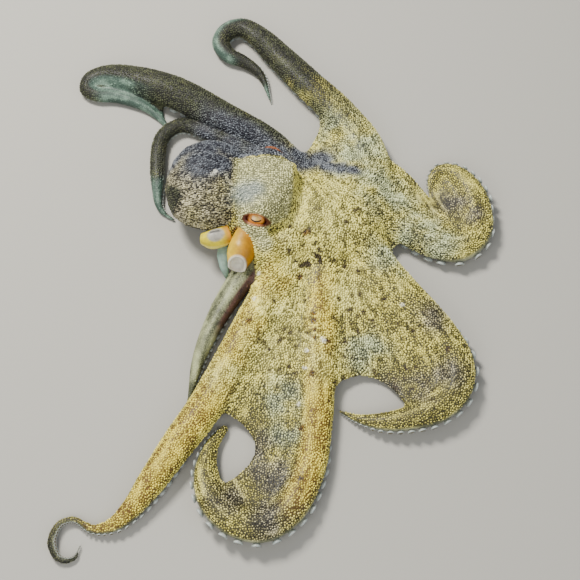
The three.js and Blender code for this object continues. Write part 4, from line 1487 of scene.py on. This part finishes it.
def make_eye(side, name):
    """A ball with its poles on the gaze. The pupil is a sagging slit; its distance is kept on the mesh."""
    gaze, level, upright = eye_frame(side)
    tilts = np.arange(1, EYE_RINGS) * math.pi / EYE_RINGS
    turns = np.arange(EYE_SIDES) * 2 * math.pi / EYE_SIDES
    tilt, turn = (v.reshape(-1) for v in np.meshgrid(tilts, turns, indexing="ij"))
    tilt, turn = np.append(tilt, [0, math.pi]), np.append(turn, [0, 0])
    x, y, out = np.sin(tilt) * np.cos(turn), np.sin(tilt) * np.sin(turn), np.cos(tilt)
    points = (x[:, None] * level + y[:, None] * upright + out[:, None] * gaze) * (EYE_RADIUS - EYE_GAP)
    faces = ring_faces(EYE_RINGS - 1, EYE_SIDES, len(points) - 2, len(points) - 1)[:, ::-1]
    made = mesh_object(name, points + eye_centre(side), faces)
    # from here x and y are mm from the middle of the opening between the lids
    x, y = x * EYE_RADIUS + side * EYE_OPENING_AT[0], y * EYE_RADIUS - EYE_OPENING_AT[1]
    sag = -1.9 + 2.3 * (x / 5.5) ** 2
    gap = np.hypot(np.maximum(np.abs(x) - PUPIL_HALF[0], 0), y - np.minimum(sag, 0.6)) - PUPIL_HALF[1]
    store(made.data, "pupil_gap", np.where(out > 0, gap, 4.0))
    glow = ramp(np.hypot(x / 1.5, y - 1.2), 4.2, 0.6)
    # painted shade: the iris darkens to brown towards the corners of the opening, under the lids
    dark = ramp(np.abs(x), 5.8, 8.8)
    store(made.data, "iris_tone", blended("#d98a25", ("#f4cf72", glow), ("#5d1f0a", dark)), "FLOAT_COLOR")
    spokes = np.column_stack([np.cos(turn) * 3 + tilt, np.sin(turn) * 3])
    store(made.data, "spokes", spokes[read_counts(made.data.loops, "vertex_index")], "FLOAT2", "CORNER")
    made.data.materials.append(EYE_FINISH)
    return made


eye_left = make_eye(1, "left_eyeball")
eye_right = make_eye(-1, "right_eyeball")


# ---- Funnel, collar lobe and the fold between them ----

TUBE_SIDES = 48
TUBE_WALL = 0.5            # a tube's own skin lies this far inside its solid, mm


def tube(name, stops, rings, squash, slant, colour):
    """A bent tube through the stops. Rings are (share along, radius); those after the far end turn in over
    the rim. Squash is its height over its width, and slant sets its upper side back at the far end, in mm."""
    s, places = route(stops, 0.5)
    share, radius = np.array(rings).T
    at = np.clip(share, 0, 1) * s[-1]
    spot = read_along(at, s, places)
    ahead = read_along(at, s, np.gradient(places, axis=0))
    ahead /= np.linalg.norm(ahead, axis=1)[:, None]
    across = np.cross([0, 0, 1.0], ahead)
    across /= np.linalg.norm(across, axis=1)[:, None]
    up = np.cross(ahead, across)
    turn = np.arange(TUBE_SIDES) / TUBE_SIDES * 2 * math.pi
    lumps = 1 + 0.03 * np.sin(3 * turn + 5 * share[:, None]) + 0.012 * np.sin(11 * turn + 40 * share[:, None])
    wide = (radius[:, None] * lumps)[:, :, None]
    points = (spot[:, None] + wide * across[:, None] * np.cos(turn)[None, :, None]
              + wide * squash * up[:, None] * np.sin(turn)[None, :, None])
    back = slant * smooth((share - 0.55) / 0.45)[:, None] * np.clip(np.sin(turn), -0.3, 1)[None]
    points -= back[:, :, None] * ahead[:, None]
    ring = np.repeat(np.arange(len(rings)), TUBE_SIDES)
    angle = np.tile(turn, len(rings))
    ends = points[[0, -1]].mean(axis=1)
    points = np.vstack([points.reshape(-1, 3), ends])
    made = mesh_object(name, points, ring_faces(len(rings), TUBE_SIDES, len(points) - 2, len(points) - 1))
    ring, angle = np.append(ring, [0, len(rings) - 1]), np.append(angle, [0, 0])
    store(made.data, "tone", colour(ring, share[ring], angle), "FLOAT_COLOR")
    made.data.materials.append(FUNNEL_FINISH)
    return made


def girth_rings(girth, count, last):
    shares = np.linspace(0, last, count)
    return list(zip(shares, along_steps(girth, shares) - TUBE_WALL))


def funnel_colour(ring, share, angle):
    inside = ramp(ring, 23.5, 26)
    # painted light and shade: brighter yellow on the side that faces the key light, darker brown on the upper
    # side near the root under the head; the pale inside and rim are the funnel's own colour
    upper, side = np.maximum(np.sin(angle), 0), np.maximum(np.cos(angle - 2.6), 0)
    return blended("#a87300", ("#dfc42c", 0.6 * side**2),
                   ("#965804", 0.5 * upper * ramp(share, 0.6, 0.2)),
                   ("#cfcabb", np.maximum(inside, ramp(share, 0.93, 0.985))))


def lobe_colour(ring, share, angle):
    upper = np.maximum(np.sin(angle), 0)
    oval = ramp((share - 0.46) ** 2 / 0.28**2 + (angle - 1.5) ** 2 / 0.8**2, 1.15, 0.7)
    line = ramp((share - 0.46) ** 2 / 0.20**2 + (angle - 1.75) ** 2 / 0.16**2, 1.3, 0.6)
    # the darker brown towards the root, where the lobe meets the funnel, is painted shade
    return blended("#d2c020", ("#b8801c", ramp(share, 0.35, 0.05)),
                   ("#ece27c", 0.6 * ramp(upper, 0.3, 0.0)), ("#9b978c", oval), ("#3c3a36", line))


def fold_colour(ring, share, angle):
    # painted light and shade: lighter on its upper side, darker towards its lower end
    return blended("#6f9184", ("#8faa9c", np.maximum(np.sin(angle), 0)),
                   ("#566a55", ramp(share, 0.5, 1.0)))


FUNNEL_RIM = [(0.99, 9.2), (1.0, 8.6), (1.0, 7.8), (0.97, 7.1), (0.92, 6.4), (0.86, 4.5)]
LOBE_RIM = [(0.98, 5.2), (1.0, 2.6)]
FOLD_RINGS = [(0, 3), (0.03, 5.4), (0.3, 6), (0.6, 4.6), (0.85, 2.8), (1, 0.9)]
funnel = tube("funnel_tube", FUNNEL_STOPS, girth_rings(FUNNEL_GIRTH, 22, 0.96) + FUNNEL_RIM, 1.0, 6.5,
              funnel_colour)
lobe = tube("collar_lobe_flap", LOBE_STOPS, girth_rings(LOBE_GIRTH, 18, 0.93) + LOBE_RIM, 1.0, 0.0,
            lobe_colour)
fold = tube("funnel_fold", FOLD_STOPS, FOLD_RINGS, 0.45, 0.0, fold_colour)


# ---- Light, floor and camera ----

CAMERA_TILT = math.radians(63)
CAMERA_AWAY = 1160.0
LENS, SENSOR = 72.0, 36.0
CLIP = (0.05, 20.0)        # m
FLOOR_HALF = 3000.0
FLOOR_TONE = "#a5a39c"
# Lights as (name, place and width in m, power in W, colour).
LIGHTS = [
    ("key", (-0.8, 0.9, 1.5), 0.5, 74.0, (1.0, 0.97, 0.90)),
    ("fill", (1.2, -0.9, 1.0), 1.2, 9.0, (0.92, 0.96, 1.0)),
    ("front", (-0.6, -1.2, 0.9), 1.0, 14.0, (1.0, 0.98, 0.94)),
]
SKY, SKY_STRENGTH = (0.85, 0.88, 0.92, 1.0), 0.42


def place_camera():
    data = bpy.data.cameras.new("camera")
    data.lens, data.sensor_width, data.sensor_fit = LENS, SENSOR, "HORIZONTAL"
    data.clip_start, data.clip_end = CLIP
    camera = new_object("camera", data)
    aim = Vector(to_frame([0.0, 0.0, 0.0]))
    aim.z = 0.0
    camera.location = aim + Vector((0, -math.cos(CAMERA_TILT), math.sin(CAMERA_TILT))) * CAMERA_AWAY * MM
    camera.rotation_euler = (math.pi / 2 - CAMERA_TILT, 0, 0)
    bpy.context.scene.camera = camera


def add_light(name, place, size, power, colour):
    data = bpy.data.lights.new(name, "AREA")
    data.size, data.energy, data.color = size, power, colour
    light = new_object(name, data)
    light.location = place
    light.rotation_euler = (-Vector(place)).to_track_quat("-Z", "Y").to_euler()


def studio():
    for light in LIGHTS:
        add_light(*light)
    world = bpy.data.worlds.new("studio")
    world.use_nodes = True
    background = world.node_tree.nodes["Background"]
    background.inputs["Color"].default_value = SKY
    background.inputs["Strength"].default_value = SKY_STRENGTH
    bpy.context.scene.world = world
    material, tree = new_material("studio_floor_pale_matt")
    shader = add(tree, "ShaderNodeBsdfPrincipled", {"Base Color": linear(FLOOR_TONE), "Roughness": 0.9})
    add(tree, "ShaderNodeOutputMaterial", {"Surface": shader})
    corners = FLOOR_HALF * np.array([(-1, -1, 0), (1, -1, 0), (1, 1, 0), (-1, 1, 0)])
    floor = mesh_object("floor", corners, [(0, 1, 2, 3)])
    floor.data.materials.append(material)


place_camera()
studio()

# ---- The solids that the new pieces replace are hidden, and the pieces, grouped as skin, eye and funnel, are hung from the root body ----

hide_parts(*FLESH)
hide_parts("eye_left")
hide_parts("eye_right")
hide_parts("funnel")
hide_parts("collar_lobe")
SLOTS = {"skin": [skin, suckers, *coat], "eye": [eye_left, eye_right], "funnel": [funnel, lobe, fold]}
for slot, pieces in SLOTS.items():
    for piece in pieces:
        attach(piece, "root")
